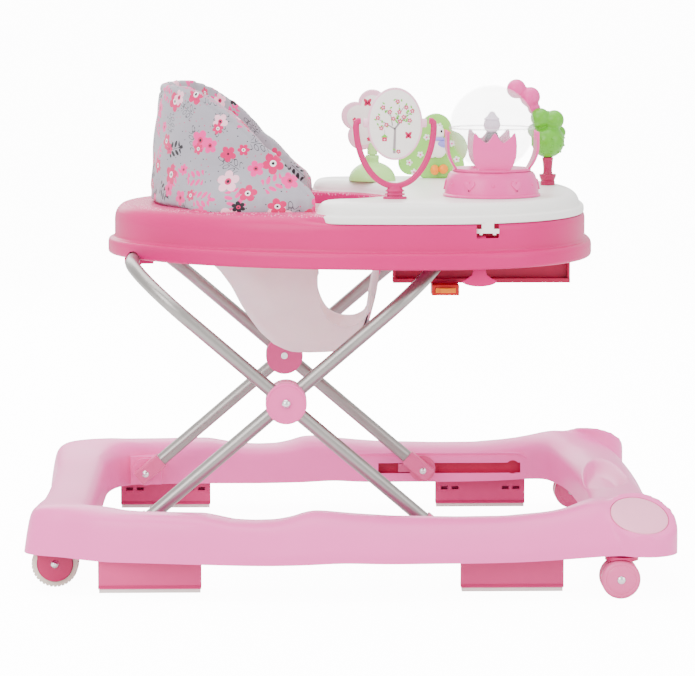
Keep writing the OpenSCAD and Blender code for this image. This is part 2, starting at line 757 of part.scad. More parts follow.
module tree_trunk() {
    color(deep_pink) translate([tree_pos[0], tree_pos[1], top_z])
        rotate_extrude() polygon([[0, 0.1], [9, 0.1],
        [9, 5], [8, 5.5], [10.5, 11], [10.5, 13.5], [6, 13.5], [5.2, 18], [6.6, 34], [0, 34]]);
}

module tree_crown() {
    color(green) translate([tree_pos[0], tree_pos[1], 496]) union() {
        sphere(21);
        for (c = [[-10, -6, 29, 12], [7, -4, 26, 12.5], [0, 12, 26, 11], [-17, 4, 13, 9], [15, 10, 10, 9]])
            translate([c[0], c[1], c[2]]) sphere(c[3]);
    }
}

module blossom() {
    color([0.9, 0.6, 0.75]) translate([tree_pos[0] - 26, tree_pos[1] + 2, 551]) {
        // Poles lie along X, so no two lobes meet along a seam.
        for (c = [[-13, 1.5, 9, 12], [4, -2, -1, 12.5], [9, 1, -15, 8]])
            translate([c[0], c[1], c[2]]) rotate([0, 90, 0]) sphere(c[3]);
    }
}

base_ring();
corner_housings();
corner_caps();
caster_sockets();
slide_track(1);  // slide_track_left
slide_track(-1);  // slide_track_right
rear_pivot_mounts();
foot_rivets();
rear_forks();
rear_axles();
stop_bracket(stop_x[0], 1);  // stop_bracket_rear_left
stop_bracket(stop_x[0], -1);  // stop_bracket_rear_right
stop_bracket(stop_x[1], 1);  // stop_bracket_front_left
stop_bracket(stop_x[1], -1);  // stop_bracket_front_right
stop_strips();
caster_fork(1);  // caster_fork_left
caster_fork(-1);  // caster_fork_right
caster_wheels(1);  // caster_wheels_left
caster_wheels(-1);  // caster_wheels_right
caster_axle(1);  // caster_axle_left
caster_axle(-1);  // caster_axle_right
rear_hub(1);  // rear_hub_left
rear_hub(-1);  // rear_hub_right
rear_tyre(1);  // rear_tyre_left
rear_tyre(-1);  // rear_tyre_right
inner_tube_frame();
outer_tube_frame();
inner_leg_ends();
outer_leg_ends();
inner_hubs();
outer_hubs();
hub_rivets();
slide_shoe(1);  // slide_shoe_left
slide_shoe(-1);  // slide_shoe_right
slide_rivet(1);  // slide_rivet_left
slide_rivet(-1);  // slide_rivet_right
tray_shell();
bar_clamps();
guide_channels();
storage_hooks();
latch_housing();
latch_button();
seat_back();
seat_sling();
white_tray();
mirror_yoke();
oval_mirror();  // mirror
flower_base();
flower_spinner();
globe_base();
globe_shell();
globe_cups();
globe_figure();
bush_panel();
bird();
tree_trunk();
tree_crown();
blossom();
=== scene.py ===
# A folding baby walker: wheeled base ring, crossed tube frames, tray with padded seat, and a lift-off
# toy tray. Sizes in this file are millimetres; pieces are scaled to metres when their mesh is made.
from math import cos, pi, radians, sin

import bmesh
import bpy
import numpy as np
from mathutils import Matrix, Vector


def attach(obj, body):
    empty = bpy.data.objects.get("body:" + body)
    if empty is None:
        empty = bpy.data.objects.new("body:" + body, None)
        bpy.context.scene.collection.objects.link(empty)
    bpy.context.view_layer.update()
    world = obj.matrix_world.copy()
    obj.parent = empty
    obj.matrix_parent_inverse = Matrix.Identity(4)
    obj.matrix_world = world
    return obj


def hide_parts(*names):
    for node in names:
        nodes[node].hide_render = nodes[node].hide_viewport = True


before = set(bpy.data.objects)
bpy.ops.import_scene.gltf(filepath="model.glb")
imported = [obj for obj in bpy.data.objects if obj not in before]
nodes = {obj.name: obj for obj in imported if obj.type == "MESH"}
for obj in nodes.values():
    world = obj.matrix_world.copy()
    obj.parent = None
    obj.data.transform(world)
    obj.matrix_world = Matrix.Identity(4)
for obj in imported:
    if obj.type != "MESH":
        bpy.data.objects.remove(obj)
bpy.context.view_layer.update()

# ---------------------------------------------------------------------------------------------------
# Camera and studio: a long lens a little above the tray, a pale floor that runs out of sight, and
# large soft lights from above, from the front and from behind.
# ---------------------------------------------------------------------------------------------------
camera = bpy.data.objects.new("camera", bpy.data.cameras.new("camera"))
camera.location = (-0.0915, -3.986, 0.725)
camera.rotation_euler = (radians(90 - 6.65), 0, radians(-1.35))
camera.data.lens = 170.9
camera.data.sensor_width = 36
camera.data.clip_end = 300
bpy.context.collection.objects.link(camera)
bpy.context.scene.camera = camera

for label, place, aim, size, power in [
        ("light_top", (-0.3, 0.1, 2.6), (0, 0, 0.3), 2.4, 72),
        ("light_front", (-1.7, -2.4, 1.7), (0, 0, 0.3), 1.8, 62),
        ("light_side", (2.2, -1.6, 1.2), (0, 0, 0.3), 1.6, 24),
        ("light_back", (-0.6, 2.4, 1.8), (0, 0, 0.2), 2.2, 64)]:
    light = bpy.data.objects.new(label, bpy.data.lights.new(label, "AREA"))
    light.data.size = size
    light.data.energy = power
    light.location = place
    light.rotation_euler = (Vector(aim) - Vector(place)).to_track_quat("-Z", "Y").to_euler()
    bpy.context.collection.objects.link(light)

world = bpy.data.worlds.new("studio")
world.use_nodes = True
world.node_tree.nodes["Background"].inputs["Color"].default_value = (1, 0.995, 0.99, 1)
world.node_tree.nodes["Background"].inputs["Strength"].default_value = 1.5
backdrop = world.node_tree.nodes.new("ShaderNodeBackground")
backdrop.inputs["Strength"].default_value = 20
ray_kind = world.node_tree.nodes.new("ShaderNodeLightPath")
either = world.node_tree.nodes.new("ShaderNodeMixShader")
world.node_tree.links.new(ray_kind.outputs["Is Camera Ray"], either.inputs[0])
world.node_tree.links.new(world.node_tree.nodes["Background"].outputs[0], either.inputs[1])
world.node_tree.links.new(backdrop.outputs[0], either.inputs[2])
world.node_tree.links.new(either.outputs[0], world.node_tree.nodes["World Output"].inputs[0])
bpy.context.scene.world = world

floor_mesh = bpy.data.meshes.new("floor")
floor_mesh.from_pydata([(-90, -90, 0), (90, -90, 0), (90, 90, 0), (-90, 90, 0)], [], [(0, 1, 2, 3)])
floor = bpy.data.objects.new("floor", floor_mesh)
bpy.context.collection.objects.link(floor)
paper = bpy.data.materials.new("white_paper")
paper.use_nodes = True
paper.node_tree.nodes["Principled BSDF"].inputs["Base Color"].default_value = (0.93, 0.93, 0.93, 1)
paper.node_tree.nodes["Principled BSDF"].inputs["Roughness"].default_value = 0.9
paper.node_tree.nodes["Principled BSDF"].inputs["Emission Strength"].default_value = 12
seen_ray = paper.node_tree.nodes.new("ShaderNodeLightPath")
paper.node_tree.links.new(seen_ray.outputs["Is Camera Ray"],
                          paper.node_tree.nodes["Principled BSDF"].inputs["Emission Color"])
floor_mesh.materials.append(paper)


# ---------------------------------------------------------------------------------------------------
# Base ring: one blow-moulded pink rail all round, open underneath, with a drum over each caster at
# the front and a hand scoop in the front arch. The rail is a section carried along a table of
# stations, joined to the drums, softened, then hollowed from below and slotted for the sliders.
# ---------------------------------------------------------------------------------------------------
class Wire:
    """A socket of a material. Arithmetic on it adds Math nodes; node() adds any other kind."""

    def __init__(self, tree, socket=None):
        self.tree, self.socket = tree, socket

    def node(self, kind, settings=None, sockets=None, output=0):
        made = self.tree.nodes.new("ShaderNode" + kind)
        for key, value in (settings or {}).items():
            if key == "stops":
                ramp = made.color_ramp
                for i, (at, colour) in enumerate(value):
                    stop = ramp.elements[i] if i < 2 else ramp.elements.new(at)
                    stop.position, stop.color = at, colour
            else:
                setattr(made, key, value)
        for key, value in (sockets or {}).items():
            if isinstance(value, Wire):
                self.tree.links.new(value.socket, made.inputs[key])
            else:
                made.inputs[key].default_value = value
        return Wire(self.tree, made.outputs[output])

    def maths(self, operation, *values):
        return self.node("Math", {"operation": operation}, dict(enumerate((self,) + values)))

    def __add__(self, other): return self.maths("ADD", other)
    def __radd__(self, other): return self.maths("ADD", other)
    def __sub__(self, other): return self.maths("SUBTRACT", other)
    def __rsub__(self, other): return self.node("Math", {"operation": "SUBTRACT"}, {0: other, 1: self})
    def __mul__(self, other): return self.maths("MULTIPLY", other)
    def __rmul__(self, other): return self.maths("MULTIPLY", other)
    def __truediv__(self, other): return self.maths("DIVIDE", other)
    def __gt__(self, other): return self.maths("GREATER_THAN", other)
    def __lt__(self, other): return self.maths("LESS_THAN", other)

    def between(self, low, high):
        """0 below low, 1 above high, and smooth from one to the other."""
        return self.node("MapRange", {"interpolation_type": "SMOOTHSTEP"},
                         {"Value": self, "From Min": low, "From Max": high})

    def blend(self, under, over):
        """Colour that is `under` where this value is 0 and `over` where it is 1."""
        return self.node("Mix", {"data_type": "RGBA"}, {0: self, 6: under, 7: over}, 2)


def srgb(red, green, blue, gain=1.0):
    """Linear colour of a swatch given in 0-255 display values."""
    swatch = np.array([red, green, blue]) / 255
    linear = np.where(swatch <= 0.04045, swatch / 12.92, ((swatch + 0.055) / 1.055) ** 2.4) * gain
    return tuple(np.clip(linear, 0, 1)) + (1.0,)


def begin(name):
    """A new material, its Principled shader, and a wire with the Object coordinates."""
    material = bpy.data.materials.new(name)
    material.use_nodes = True
    tree = material.node_tree
    return material, tree.nodes["Principled BSDF"], Wire(tree).node("TexCoord", output=3)


def feed(shader, **wires):
    for name, wire in wires.items():
        wire.tree.links.new(wire.socket, shader.inputs[name.replace("_", " ")])


def moulded(name, colour, roughness=0.36, coat=0.1, skin=420, relief=0.12, clouding=0.07):
    """Moulded plastic: slow clouding of the tint, a fine pebbled skin, and uneven gloss."""
    material, shader, where = begin(name)
    cloud = where.node("TexNoise", sockets={"Vector": where, "Scale": 14.0, "Detail": 3.0})
    pebble = where.node("TexNoise", sockets={"Vector": where, "Scale": float(skin), "Detail": 2.0})
    light = tuple(min(1, c * (1 + clouding)) for c in colour[:3]) + (1,)
    dark = tuple(c * (1 - clouding) for c in colour[:3]) + (1,)
    gloss = roughness - 0.07 + cloud * 0.1 + pebble * 0.06
    bump = pebble.node("Bump", sockets={"Strength": relief, "Distance": 0.0006,
                                        "Height": pebble * 0.7 + cloud * 0.3})
    shader.inputs["Specular IOR Level"].default_value = 0.3
    shader.inputs["Coat Weight"].default_value = coat * 0.4
    shader.inputs["Coat Roughness"].default_value = 0.18
    feed(shader, Base_Color=cloud.blend(dark, light), Roughness=gloss, Normal=bump)
    return material


def add_piece(name, patches, material, body=None, replaces=(), sharp=38, turn_out=True):
    """Object made of (points, faces) patches: welded, normals outwards, smooth but for sharp edges."""
    points, faces, start = [], [], 0
    for some_points, some_faces in patches:
        points.append(np.asarray(some_points, float))
        faces += [tuple(int(start + i) for i in f) for f in some_faces]
        start += len(some_points)
    mesh = bpy.data.meshes.new(name)
    mesh.from_pydata((np.vstack(points) * 0.001).tolist(), [], faces)
    work = bmesh.new()
    work.from_mesh(mesh)
    bmesh.ops.remove_doubles(work, verts=work.verts, dist=2e-6)
    if turn_out:
        bmesh.ops.recalc_face_normals(work, faces=work.faces)
    work.to_mesh(mesh)
    work.free()
    mesh.shade_smooth()
    mesh.set_sharp_from_angle(angle=radians(sharp))
    mesh.materials.append(material)
    piece = bpy.data.objects.new(name, mesh)
    bpy.context.collection.objects.link(piece)
    if body:
        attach(piece, body)
    if replaces:
        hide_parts(*replaces)
    return piece


def lofted(grid, closed=False, caps=True):
    """Patch through rows of points, each row a closed loop. closed joins the last row to the first."""
    rows, count = grid.shape[:2]
    at = np.arange(rows * count).reshape(rows, count)
    here = at if closed else at[:-1]
    there = np.roll(at, -1, 0) if closed else at[1:]
    faces = np.stack([here, np.roll(here, -1, 1), np.roll(there, -1, 1), there], -1).reshape(-1,
            4).tolist()
    if caps and not closed:
        faces += [at[0, ::-1].tolist(), at[-1].tolist()]
    return grid.reshape(-1, 3), faces


def moved(patch, by=(0, 0, 0), turn=(0, 0, 0)):
    """The patch turned about X, then Y, then Z in degrees, then shifted."""
    x, y, z = (radians(t) for t in turn)
    matrix = (Matrix.Rotation(z, 3, "Z") @ Matrix.Rotation(y, 3, "Y") @ Matrix.Rotation(x, 3, "X"))
    return patch[0] @ np.array(matrix).T + np.array(by), patch[1]


def turned(profile, sides=72):
    """Patch turned on the Z axis from a profile of (radius, height)."""
    profile = np.asarray(profile, float)
    a = np.arange(sides) * 2 * pi / sides
    r, z = profile[:, :1], profile[:, 1:]
    return lofted(np.stack([r * np.cos(a), r * np.sin(a), z + 0 * a], -1), caps=False)


def applied(piece):
    """Makes the result of the piece's modifiers its mesh."""
    bpy.context.view_layer.update()
    seen = piece.evaluated_get(bpy.context.evaluated_depsgraph_get())
    mesh = bpy.data.meshes.new_from_object(seen)
    piece.modifiers.clear()
    piece.data = mesh


def carve(piece, patches):
    """Cuts closed patches out of a closed piece."""
    tool = add_piece("tool", patches, piece.data.materials[0])
    cut = piece.modifiers.new("cut", "BOOLEAN")
    cut.object, cut.operation = tool, "DIFFERENCE"
    cut.solver = "EXACT"
    applied(piece)
    bpy.data.objects.remove(tool)


def vertices(piece):
    flat = np.empty(len(piece.data.vertices) * 3)
    piece.data.vertices.foreach_get("co", flat)
    return flat.reshape(-1, 3) * 1000


def set_vertices(piece, points):
    piece.data.vertices.foreach_set("co", (np.asarray(points) * 0.001).ravel())
    piece.data.update()


def step(value, low, high):
    """Smoothstep on arrays."""
    t = np.clip((value - low) / (high - low), 0, 1)
    return t * t * (3 - 2 * t)


def smooth_loop(rows, steps):
    """Catmull-Rom curve through a closed table of rows, `steps` points for each row."""
    t = np.arange(len(rows) * steps) / steps
    i = t.astype(int)
    f = (t - i)[:, None]
    a, b, c, d = (rows[(i + o) % len(rows)] for o in (-1, 0, 1, 2))
    return 0.5 * (2 * b + (c - a) * f + (2 * a - 5 * b + 4 * c - d) * f ** 2 + (3 * b - a - 3 * c + d)
                  * f ** 3)


def evened(line, count, soften=2):
    """The open line (x, y) resampled by its length and rounded a little between its ends."""
    line = np.asarray(line, float)
    run = np.r_[0, np.cumsum(np.linalg.norm(np.diff(line, axis=0), axis=1))]
    at = np.linspace(0, run[-1], count)
    out = np.stack([np.interp(at, run, line[:, k]) for k in range(line.shape[1])], 1)
    for _ in range(soften):
        out[1:-1] = (out[:-2] + 2 * out[1:-1] + out[2:]) / 4
    return out


# outer edge x, y; inner edge x, y; top; bottom. Rear middle to front middle, left side.
stations = np.array([
    [-365, 0, -300, 0, 91, 42], [-367, 120, -300, 110, 91, 42], [-373, 200, -298, 185, 95, 41],
    [-371.5, 258, -284, 230, 99, 41], [-328, 284, -258, 248, 99, 41], [-284, 306, -230, 256, 96, 40],
    [-225, 318, -190, 258, 95, 40], [-168, 328, -150, 258, 94, 40], [-105, 335, -100, 258, 88, 40],
    [-55, 338, -50, 258, 97, 41], [-10, 339, -10, 257, 97, 43], [40, 338, 30, 253, 93, 42],
    [90, 336, 85, 253, 90, 42], [150, 333, 140, 253, 90, 42], [200, 331, 195, 253, 92, 43],
    [245, 328, 238, 253, 98, 45], [290, 328, 262, 232, 106, 48], [330, 318, 274, 204, 105, 48],
    [357, 290, 281, 172, 100, 48], [372, 245, 286, 130, 97, 48], [375.4, 150, 290, 75, 95, 46],
    [372.5, 0, 292, 0, 94, 45]])
all_round = np.vstack([stations, stations[-2:0:-1] * [1, -1, 1, -1, 1, 1]])
rail = smooth_loop(all_round, 14)
side_top = [(-330, 99), (-290, 97), (-237, 95.5), (-170, 95), (-154, 92), (-135, 88), (-110, 87),
            (-85, 88),
            (-68, 91.5), (-52, 97), (-40, 98.5), (-21, 97), (3, 94.5), (48, 91), (123, 89.5), (175, 90),
            (230, 95), (262, 100)]
middle_x = (rail[:, 0] + rail[:, 2]) / 2
on_side = step(np.abs(rail[:, 1]), 285, 308) * (1 - step(middle_x, 200, 250))
rail[:, 4] += on_side * (np.interp(middle_x, *np.array(side_top).T) - rail[:, 4])

rear_section = evened([[0, 0], [0.05, 0.5], [0.1, 0.84], [0.17, 0.95], [0.3, 0.99], [0.55, 1],
                       [0.78, 0.96],
                       [0.92, 0.86], [1, 0.7], [1, 0]], 44)
front_section = evened([[0, 0], [0.01, 0.24], [0.03, 0.3], [0.17, 0.62], [0.29, 0.85], [0.42, 0.975],
                        [0.58, 1],
                        [0.8, 0.93], [0.93, 0.82], [1, 0.68], [1, 0]], 44)


def rail_points(across, up):
    """Points of the rail from section fractions: across from the outer to the inner edge, and up."""
    outer, inner = rail[:, None, 0:2], rail[:, None, 2:4]
    plan = outer + (inner - outer) * across[..., None]
    height = rail[:, None, 5] + (rail[:, None, 4] - rail[:, None, 5]) * up
    return np.concatenate([plan, height[..., None]], -1)


def scoop(points):
    """Lowers points inside the oval hand scoop in the middle of the front arch."""
    inside = 1 - ((points[..., 0] - 318) / 27) ** 2 - (points[..., 1] / 112) ** 2
    depth = 15 * step(inside, 0, 0.75) * step(points[..., 2], 60, 80)
    return points - depth[..., None] * [0.25, 0, 1]


toward_front = step(middle_x, -175, -35)[:, None, None]
section = rear_section * (1 - toward_front) + front_section * toward_front
skirt = np.array([[1, -0.35], [0.5, -0.35], [0, -0.35]])[None].repeat(len(rail), 0)
whole = np.concatenate([section, skirt], 1)
base_pink = moulded("base_pink_plastic", srgb(246, 104, 180), 0.33, 0.12, clouding=0.04)
deep_pink = moulded("deep_pink_plastic", srgb(190, 30, 100), 0.36)
drum_centre, drum_radius = np.array([331.0, 295.0]), 40.0
corner_normal = np.array([0.1381, 0.4695, 0.8721])


def corner_height(x, y):
    """Height of the sloping top plane of a front corner, y counted away from the middle."""
    return 91 - (corner_normal[0] * (x - 327) + corner_normal[1] * (y - 298)) / corner_normal[2]


drums = []
for hand in (1, -1):
    points, faces = turned([(0, 30), (drum_radius, 30), (drum_radius, 60), (drum_radius, 80),
                            (drum_radius, 120),
                            (30, 120), (15, 120), (0, 120)], 96)
    points = points + [drum_centre[0], drum_centre[1], 0]
    points[:, 2] = np.where(points[:, 2] > 100, corner_height(points[:, 0], points[:, 1]), points[:, 2])
    points[:, 1] *= hand
    drums.append((points, faces))
base = add_piece("base_shell", [lofted(rail_points(whole[..., 0], whole[..., 1]), closed=True)] + drums,
                 base_pink)
union = base.modifiers.new("one_skin", "REMESH")
union.mode, union.voxel_size = "VOXEL", 0.003
soften = base.modifiers.new("soften", "SMOOTH")
soften.factor, soften.iterations = 0.5, 16
applied(base)
set_vertices(base, scoop(vertices(base)))

wall = 3.0
width = np.linalg.norm(rail[:, 2:4] - rail[:, 0:2], axis=1)[:, None]
inner_line = section[:, 2:-1]
hollow = np.stack([wall / width + inner_line[..., 0] * (1 - 2 * wall / width),
                   np.maximum(inner_line[..., 1] - 4.5 / 52, 0.001)], -1)
low = np.array([[1.5, 0], [1.5, -0.9], [-0.6, -0.9], [-0.6, 0]])[None].repeat(len(rail), 0)
hollow_points = scoop(rail_points(np.concatenate([hollow, low], 1)[..., 0],
                                  np.concatenate([hollow, low], 1)[..., 1]))
recess = [moved(turned([(0, -2.2), (34.2, -2.2), (34.2, 30), (0, 30)], 96), (327, 298 * hand, 91),
                (-28 * hand, 9, 0)) for hand in (1, -1)]
carve(base, [lofted(hollow_points, closed=True)])
carve(base, recess)
slot_left, slot_right, slot_low, slot_high, key_x, key_z, key_r = 48.5, 233.5, 53.25, 66.75, 223.5, 61.0, 8.8
low_arc, high_arc = np.radians(np.linspace(-118.3, -61.7, 8)), np.radians(np.linspace(40.8, 139.2, 12))
key_low, key_high = (np.stack([key_x + key_r * np.cos(arc), key_z + key_r * np.sin(arc)],
                              1) for arc in (low_arc, high_arc))
slot_shape = np.vstack([[[slot_left, slot_high], [slot_left, slot_low]], key_low,
                        [[slot_right, slot_low], [slot_right, slot_high]], key_high])


def upright(outline, y_low, y_high):
    """Patch with an (x, z) outline, straight between two y values."""
    outline = np.asarray(outline, float)
    row = lambda y: np.stack([outline[:, 0], np.full(len(outline), y), outline[:, 1]], 1)
    return lofted(np.stack([row(y_low), row(y_high)]))


carve(base, [upright(slot_shape, 244, 264), upright(slot_shape, -264, -244)])
base.data.shade_smooth()
base.data.set_sharp_from_angle(angle=radians(50))
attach(base, "base")
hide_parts("base_ring", "corner_housings")


def plain(names, material):
    """Gives CAD nodes their finish."""
    for name in names:
        nodes[name].data.materials.clear()
        nodes[name].data.materials.append(material)


plain(["caster_sockets", "rear_pivot_mounts"], base_pink)

# Corner caps: paler round discs pressed into the recess over each caster, with a fine joint round them.
cap_pink = moulded("cap_pink_plastic", srgb(244, 160, 192), 0.34, 0.1)
caps = [moved(turned([(0, -2.1), (32.6, -2.1), (33.3, -1.2), (33.3, -0.5), (33.0, 0.0), (32.2, 0.35),
                      (20, 0.55),
                      (0, 0.65)], 96), (327, 298 * hand, 91), (-28 * hand, 9, 0)) for hand in (1, -1)]
add_piece("corner_discs", caps, cap_pink, "base", ["corner_caps"])

# Slide tracks: dark pink ribbed liners behind the slots in the side walls, and the bead above them.
liner = []
for hand in (1, -1):
    for low_x, high_x, y_near, y_far, low_z, high_z in [
            (44, 240, 267.5, 270, 48, 74), (44, 240, 255.6, 270, 68.6, 71),
            (44, 240, 255.6, 270, 49, 51.4),
            (44, 46.5, 255.6, 270, 48, 74), (236, 238.5, 255.6, 270, 48, 74),
            (204, 205.5, 267.1, 270, 50, 70),
            (150, 151.5, 267.1, 270, 50, 70), (128, 129.5, 267.1, 270, 50, 70)]:
        shape = [[low_x, low_z], [high_x, low_z], [high_x, high_z], [low_x, high_z]]
        liner.append(upright(shape, *sorted((hand * y_near, hand * y_far))))
slot_pink = moulded("slot_pink_plastic", srgb(200, 24, 84), 0.4)
add_piece("slot_liners", liner, slot_pink, "base", ["slide_track_left", "slide_track_right"])


def rod(path, radius, sides=14):
    """Round bar along a path: rings square to the path, with the frame carried along without twist."""
    path = np.asarray(path, float)
    along = np.gradient(path, axis=0)
    along /= np.linalg.norm(along, axis=1)[:, None]
    side = np.cross(along[0], [0.31, 0.17, 0.93])
    rings, a = [], np.arange(sides) * 2 * pi / sides
    radius = np.broadcast_to(radius, len(path))
    for point, direction, r in zip(path, along, radius):
        side = side - direction * side.dot(direction)
        side = side / np.linalg.norm(side)
        other = np.cross(direction, side)
        rings.append(point + r * (np.cos(a)[:, None] * side + np.sin(a)[:, None] * other))
    return lofted(np.stack(rings))


def curve(points, count=40):
    """Smooth open curve through a few 3-D points."""
    points = np.asarray(points, float)
    padded_points = np.vstack([2 * points[0] - points[1], points, 2 * points[-1] - points[-2]])
    t = np.linspace(0, len(points) - 1 - 1e-9, count)
    i = t.astype(int)
    f = (t - i)[:, None]
    a, b, c, d = (padded_points[i + o] for o in range(4))
    return 0.5 * (2 * b + (c - a) * f + (2 * a - 5 * b + 4 * c - d) * f ** 2 + (3 * b - a - 3 * c + d)
                  * f ** 3)


beads = [rod(curve([[20, 252.6 * hand, 79], [60, 252.2 * hand, 79.6], [150, 252.2 * hand, 79.6],
                    [220, 252.2 * hand, 79.6],
                    [236, 252.2 * hand, 77], [246, 252.8 * hand, 69]], 60), 1.3, 10) for hand in (1, -1)]
add_piece("wall_beads", beads, base_pink, "base")

# Stop pads: ribbed deep pink brackets under the side rails, with a lip and a pale rubber strip.
pad_pink = moulded("stop_pad_plastic", srgb(214, 62, 126), 0.38)
strip_rubber = moulded("stop_strip_rubber", srgb(236, 228, 222), 0.62, 0.0, 900, 0.25)
plain([n for n in nodes if n.startswith("stop_bracket")], pad_pink)
plain(["stop_strips"], strip_rubber)
lips = [upright([[x - 58.6, 10.2], [x + 58.6, 10.2], [x + 58.6, 12.6], [x - 58.6, 12.6]],
                *sorted((hand * 282.2, hand * 297.8)))
        for x in (-229, 183) for hand in (1, -1)]
add_piece("pad_lips", lips, deep_pink, "base")

# ---------------------------------------------------------------------------------------------------
# Wheels: two domed wheels on each front caster, and a notched pale tyre in a fork at each rear corner.
# ---------------------------------------------------------------------------------------------------
chrome, chrome_shader, where = begin("rivet_chrome")
smudge = where.node("TexNoise", sockets={"Vector": where, "Scale": 160.0, "Detail": 3.0})
chrome_shader.inputs["Metallic"].default_value = 1
feed(chrome_shader, Base_Color=smudge.blend((0.72, 0.72, 0.73, 1), (0.86, 0.86, 0.87, 1)),
     Roughness=0.12 + smudge * 0.16)
tread = moulded("tread_plastic", srgb(232, 224, 206), 0.6, 0.0, 700, 0.3)
wheel_pink = moulded("wheel_pink_plastic", srgb(226, 96, 150), 0.26, 0.3)
ear_pink = moulded("fork_pink_plastic", srgb(190, 36, 96), 0.36)
plain(["rear_tyre_left", "rear_tyre_right"], tread)
plain(["rear_hub_left", "rear_hub_right", "rear_forks"], ear_pink)
plain(["rear_axles", "caster_axle_left", "caster_axle_right"], chrome)
plain(["caster_fork_left", "caster_fork_right"], deep_pink)
wheel_profile = [(3.02, 0), (20.6, 0), (21.9, 0.7), (22.3, 2), (22.3, 8), (21.8, 9.6), (20.4, 11),
                 (18.6, 11.9), (17.4, 12.1),
                 (16.7, 11.7), (16.0, 12.2), (13, 13.1), (8, 13.8), (5, 14.0), (4.2, 13.4), (3.02, 13.3)]
for name, hand in (("left", 1), ("right", -1)):
    pair = []
    for e in (1, -1):
        pair.append(moved(turned(wheel_profile, 96), (304, 309 * hand + 5.9 * e, 22.3), (-90 * e, 0, 0)))
    add_piece("caster_pair_" + name, pair, wheel_pink, "caster_pair_" + name,
              ["caster_wheels_" + name])

# ---------------------------------------------------------------------------------------------------
# X frame: two bent tubes of satin steel, pinned at the middle through round plastic hubs, with
# moulded ends that turn on the base and slide in its tracks.
# ---------------------------------------------------------------------------------------------------
steel, steel_shader, where = begin("satin_steel")
stretched = where.node("Mapping", sockets={"Vector": where, "Scale": (8, 900, 8)})
drawn = where.node("TexNoise", sockets={"Vector": stretched, "Scale": 1.0, "Detail": 3.0})
patchy = where.node("TexNoise", sockets={"Vector": where, "Scale": 35.0, "Detail": 4.0})
steel_shader.inputs["Metallic"].default_value = 0.85
steel_bump = drawn.node("Bump", sockets={"Strength": 0.08, "Distance": 0.0003, "Height": drawn})
feed(steel_shader, Base_Color=(drawn * 0.5 + patchy * 0.5).blend((0.25, 0.235, 0.225, 1),
        (0.4, 0.38, 0.36, 1)),
     Roughness=0.27 + patchy * 0.14, Normal=steel_bump)
plain(["inner_tube_frame", "outer_tube_frame"], steel)
leg_pink = moulded("leg_end_plastic", srgb(214, 84, 138), 0.34)
hub_pink = moulded("hub_pink_plastic", srgb(232, 92, 160), 0.3, 0.2)
# The inner hubs use a darker copy of the hub pink: painted shade for where they sit behind the outer discs.
hub_pink_painted_shade = moulded("inner_hub_painted_shade_plastic", srgb(206, 70, 130), 0.34)
plain(["inner_leg_ends", "outer_leg_ends", "slide_shoe_left", "slide_shoe_right"], leg_pink)
plain(["inner_hubs"], hub_pink_painted_shade)
plain(["foot_rivets", "slide_rivet_left", "slide_rivet_right", "hub_rivets"], chrome)
hub_profile = [(3.1, 0), (22.2, 0), (23.75, 1.2), (23.75, 17.6), (23.2, 18.9), (22.3, 19.3),
               (21.5, 19.2), (21.0, 18.5), (20.4, 18.3),
               (10, 18.5), (3.1, 18.6)]
outer_hub_discs = [moved(turned(hub_profile, 96), (-73.5, 229.3 * hand, 213.25),
                         (-90 * hand, 0, 0)) for hand in (1, -1)]
add_piece("hub_discs", outer_hub_discs, hub_pink, "outer_frame", ["outer_hubs"])

# ---------------------------------------------------------------------------------------------------
# Tray: a deep magenta moulding with a rolled flange, a stepped wall, a speckled deck and the seat hole.
# Its skin is a profile of (inset, height) carried round the egg-shaped outline, then made 3 mm thick.
# ---------------------------------------------------------------------------------------------------
def egg(centre, front, rear, half, front_power=2.4, rear_power=2.0, count=240, angles=None):
    """Egg outline: a superellipse with its own length and power in front of and behind the centre."""
    a = np.arange(count) * 2 * pi / count if angles is None else angles
    c, s = np.cos(a), np.sin(a)
    n = np.where(c > 0, front_power, rear_power)
    reach = np.where(c > 0, front, rear)
    return np.stack([centre + reach * np.sign(c) * np.abs(c) ** (2 / n),
                     half * np.sign(s) * np.abs(s) ** (2 / n)], 1)


tray_steps = 320
seat_x = -92.0
front_wall = evened([[5.5, 367], [2, 366.9], [0.2, 368.5], [0, 371], [0, 380], [0.6, 383.6],
                     [2.4, 385.6], [5, 386], [7.3, 386.6],
                     [8, 388.5], [8, 412], [8.8, 416], [11, 418], [13.6, 418.3], [14.2, 420],
                     [14.9, 424], [17.5, 427.2],
                     [22, 428], [26, 428]], 70, 1)
rear_wall = evened([[5.5, 367], [2, 366.9], [0.2, 368.5], [0, 371], [0, 380], [0.6, 383.6],
                    [2.4, 385.6], [5, 386], [7.3, 386.6],
                    [8, 388.5], [8, 408], [8.6, 413], [10.2, 418], [13, 422], [17, 425.5], [22, 427.4],
                    [27, 428], [30, 428]], 70, 1)
a = np.arange(tray_steps) * 2 * pi / tray_steps
reach_x = egg(75, 220.5, 362, 258, count=tray_steps)[:, 0]
rearward = (1 - step(reach_x, -80, -20))[None, :, None]
profile = front_wall[:, None, :] * (1 - rearward) + rear_wall[:, None, :] * rearward


def tray_ring(inset, height):
    """The tray outline pulled in by `inset` at one height; both may vary round it."""
    c, s = np.cos(a), np.sin(a)
    n = np.where(c > 0, 2.4, 2.0)
    x = 75 + np.where(c > 0, 220.5 - inset, 362 - inset) * np.sign(c) * np.abs(c) ** (2 / n)
    y = (258 - inset) * np.sign(s) * np.abs(s) ** (2 / n)
    return np.stack([x, y, height + 0 * x], -1)


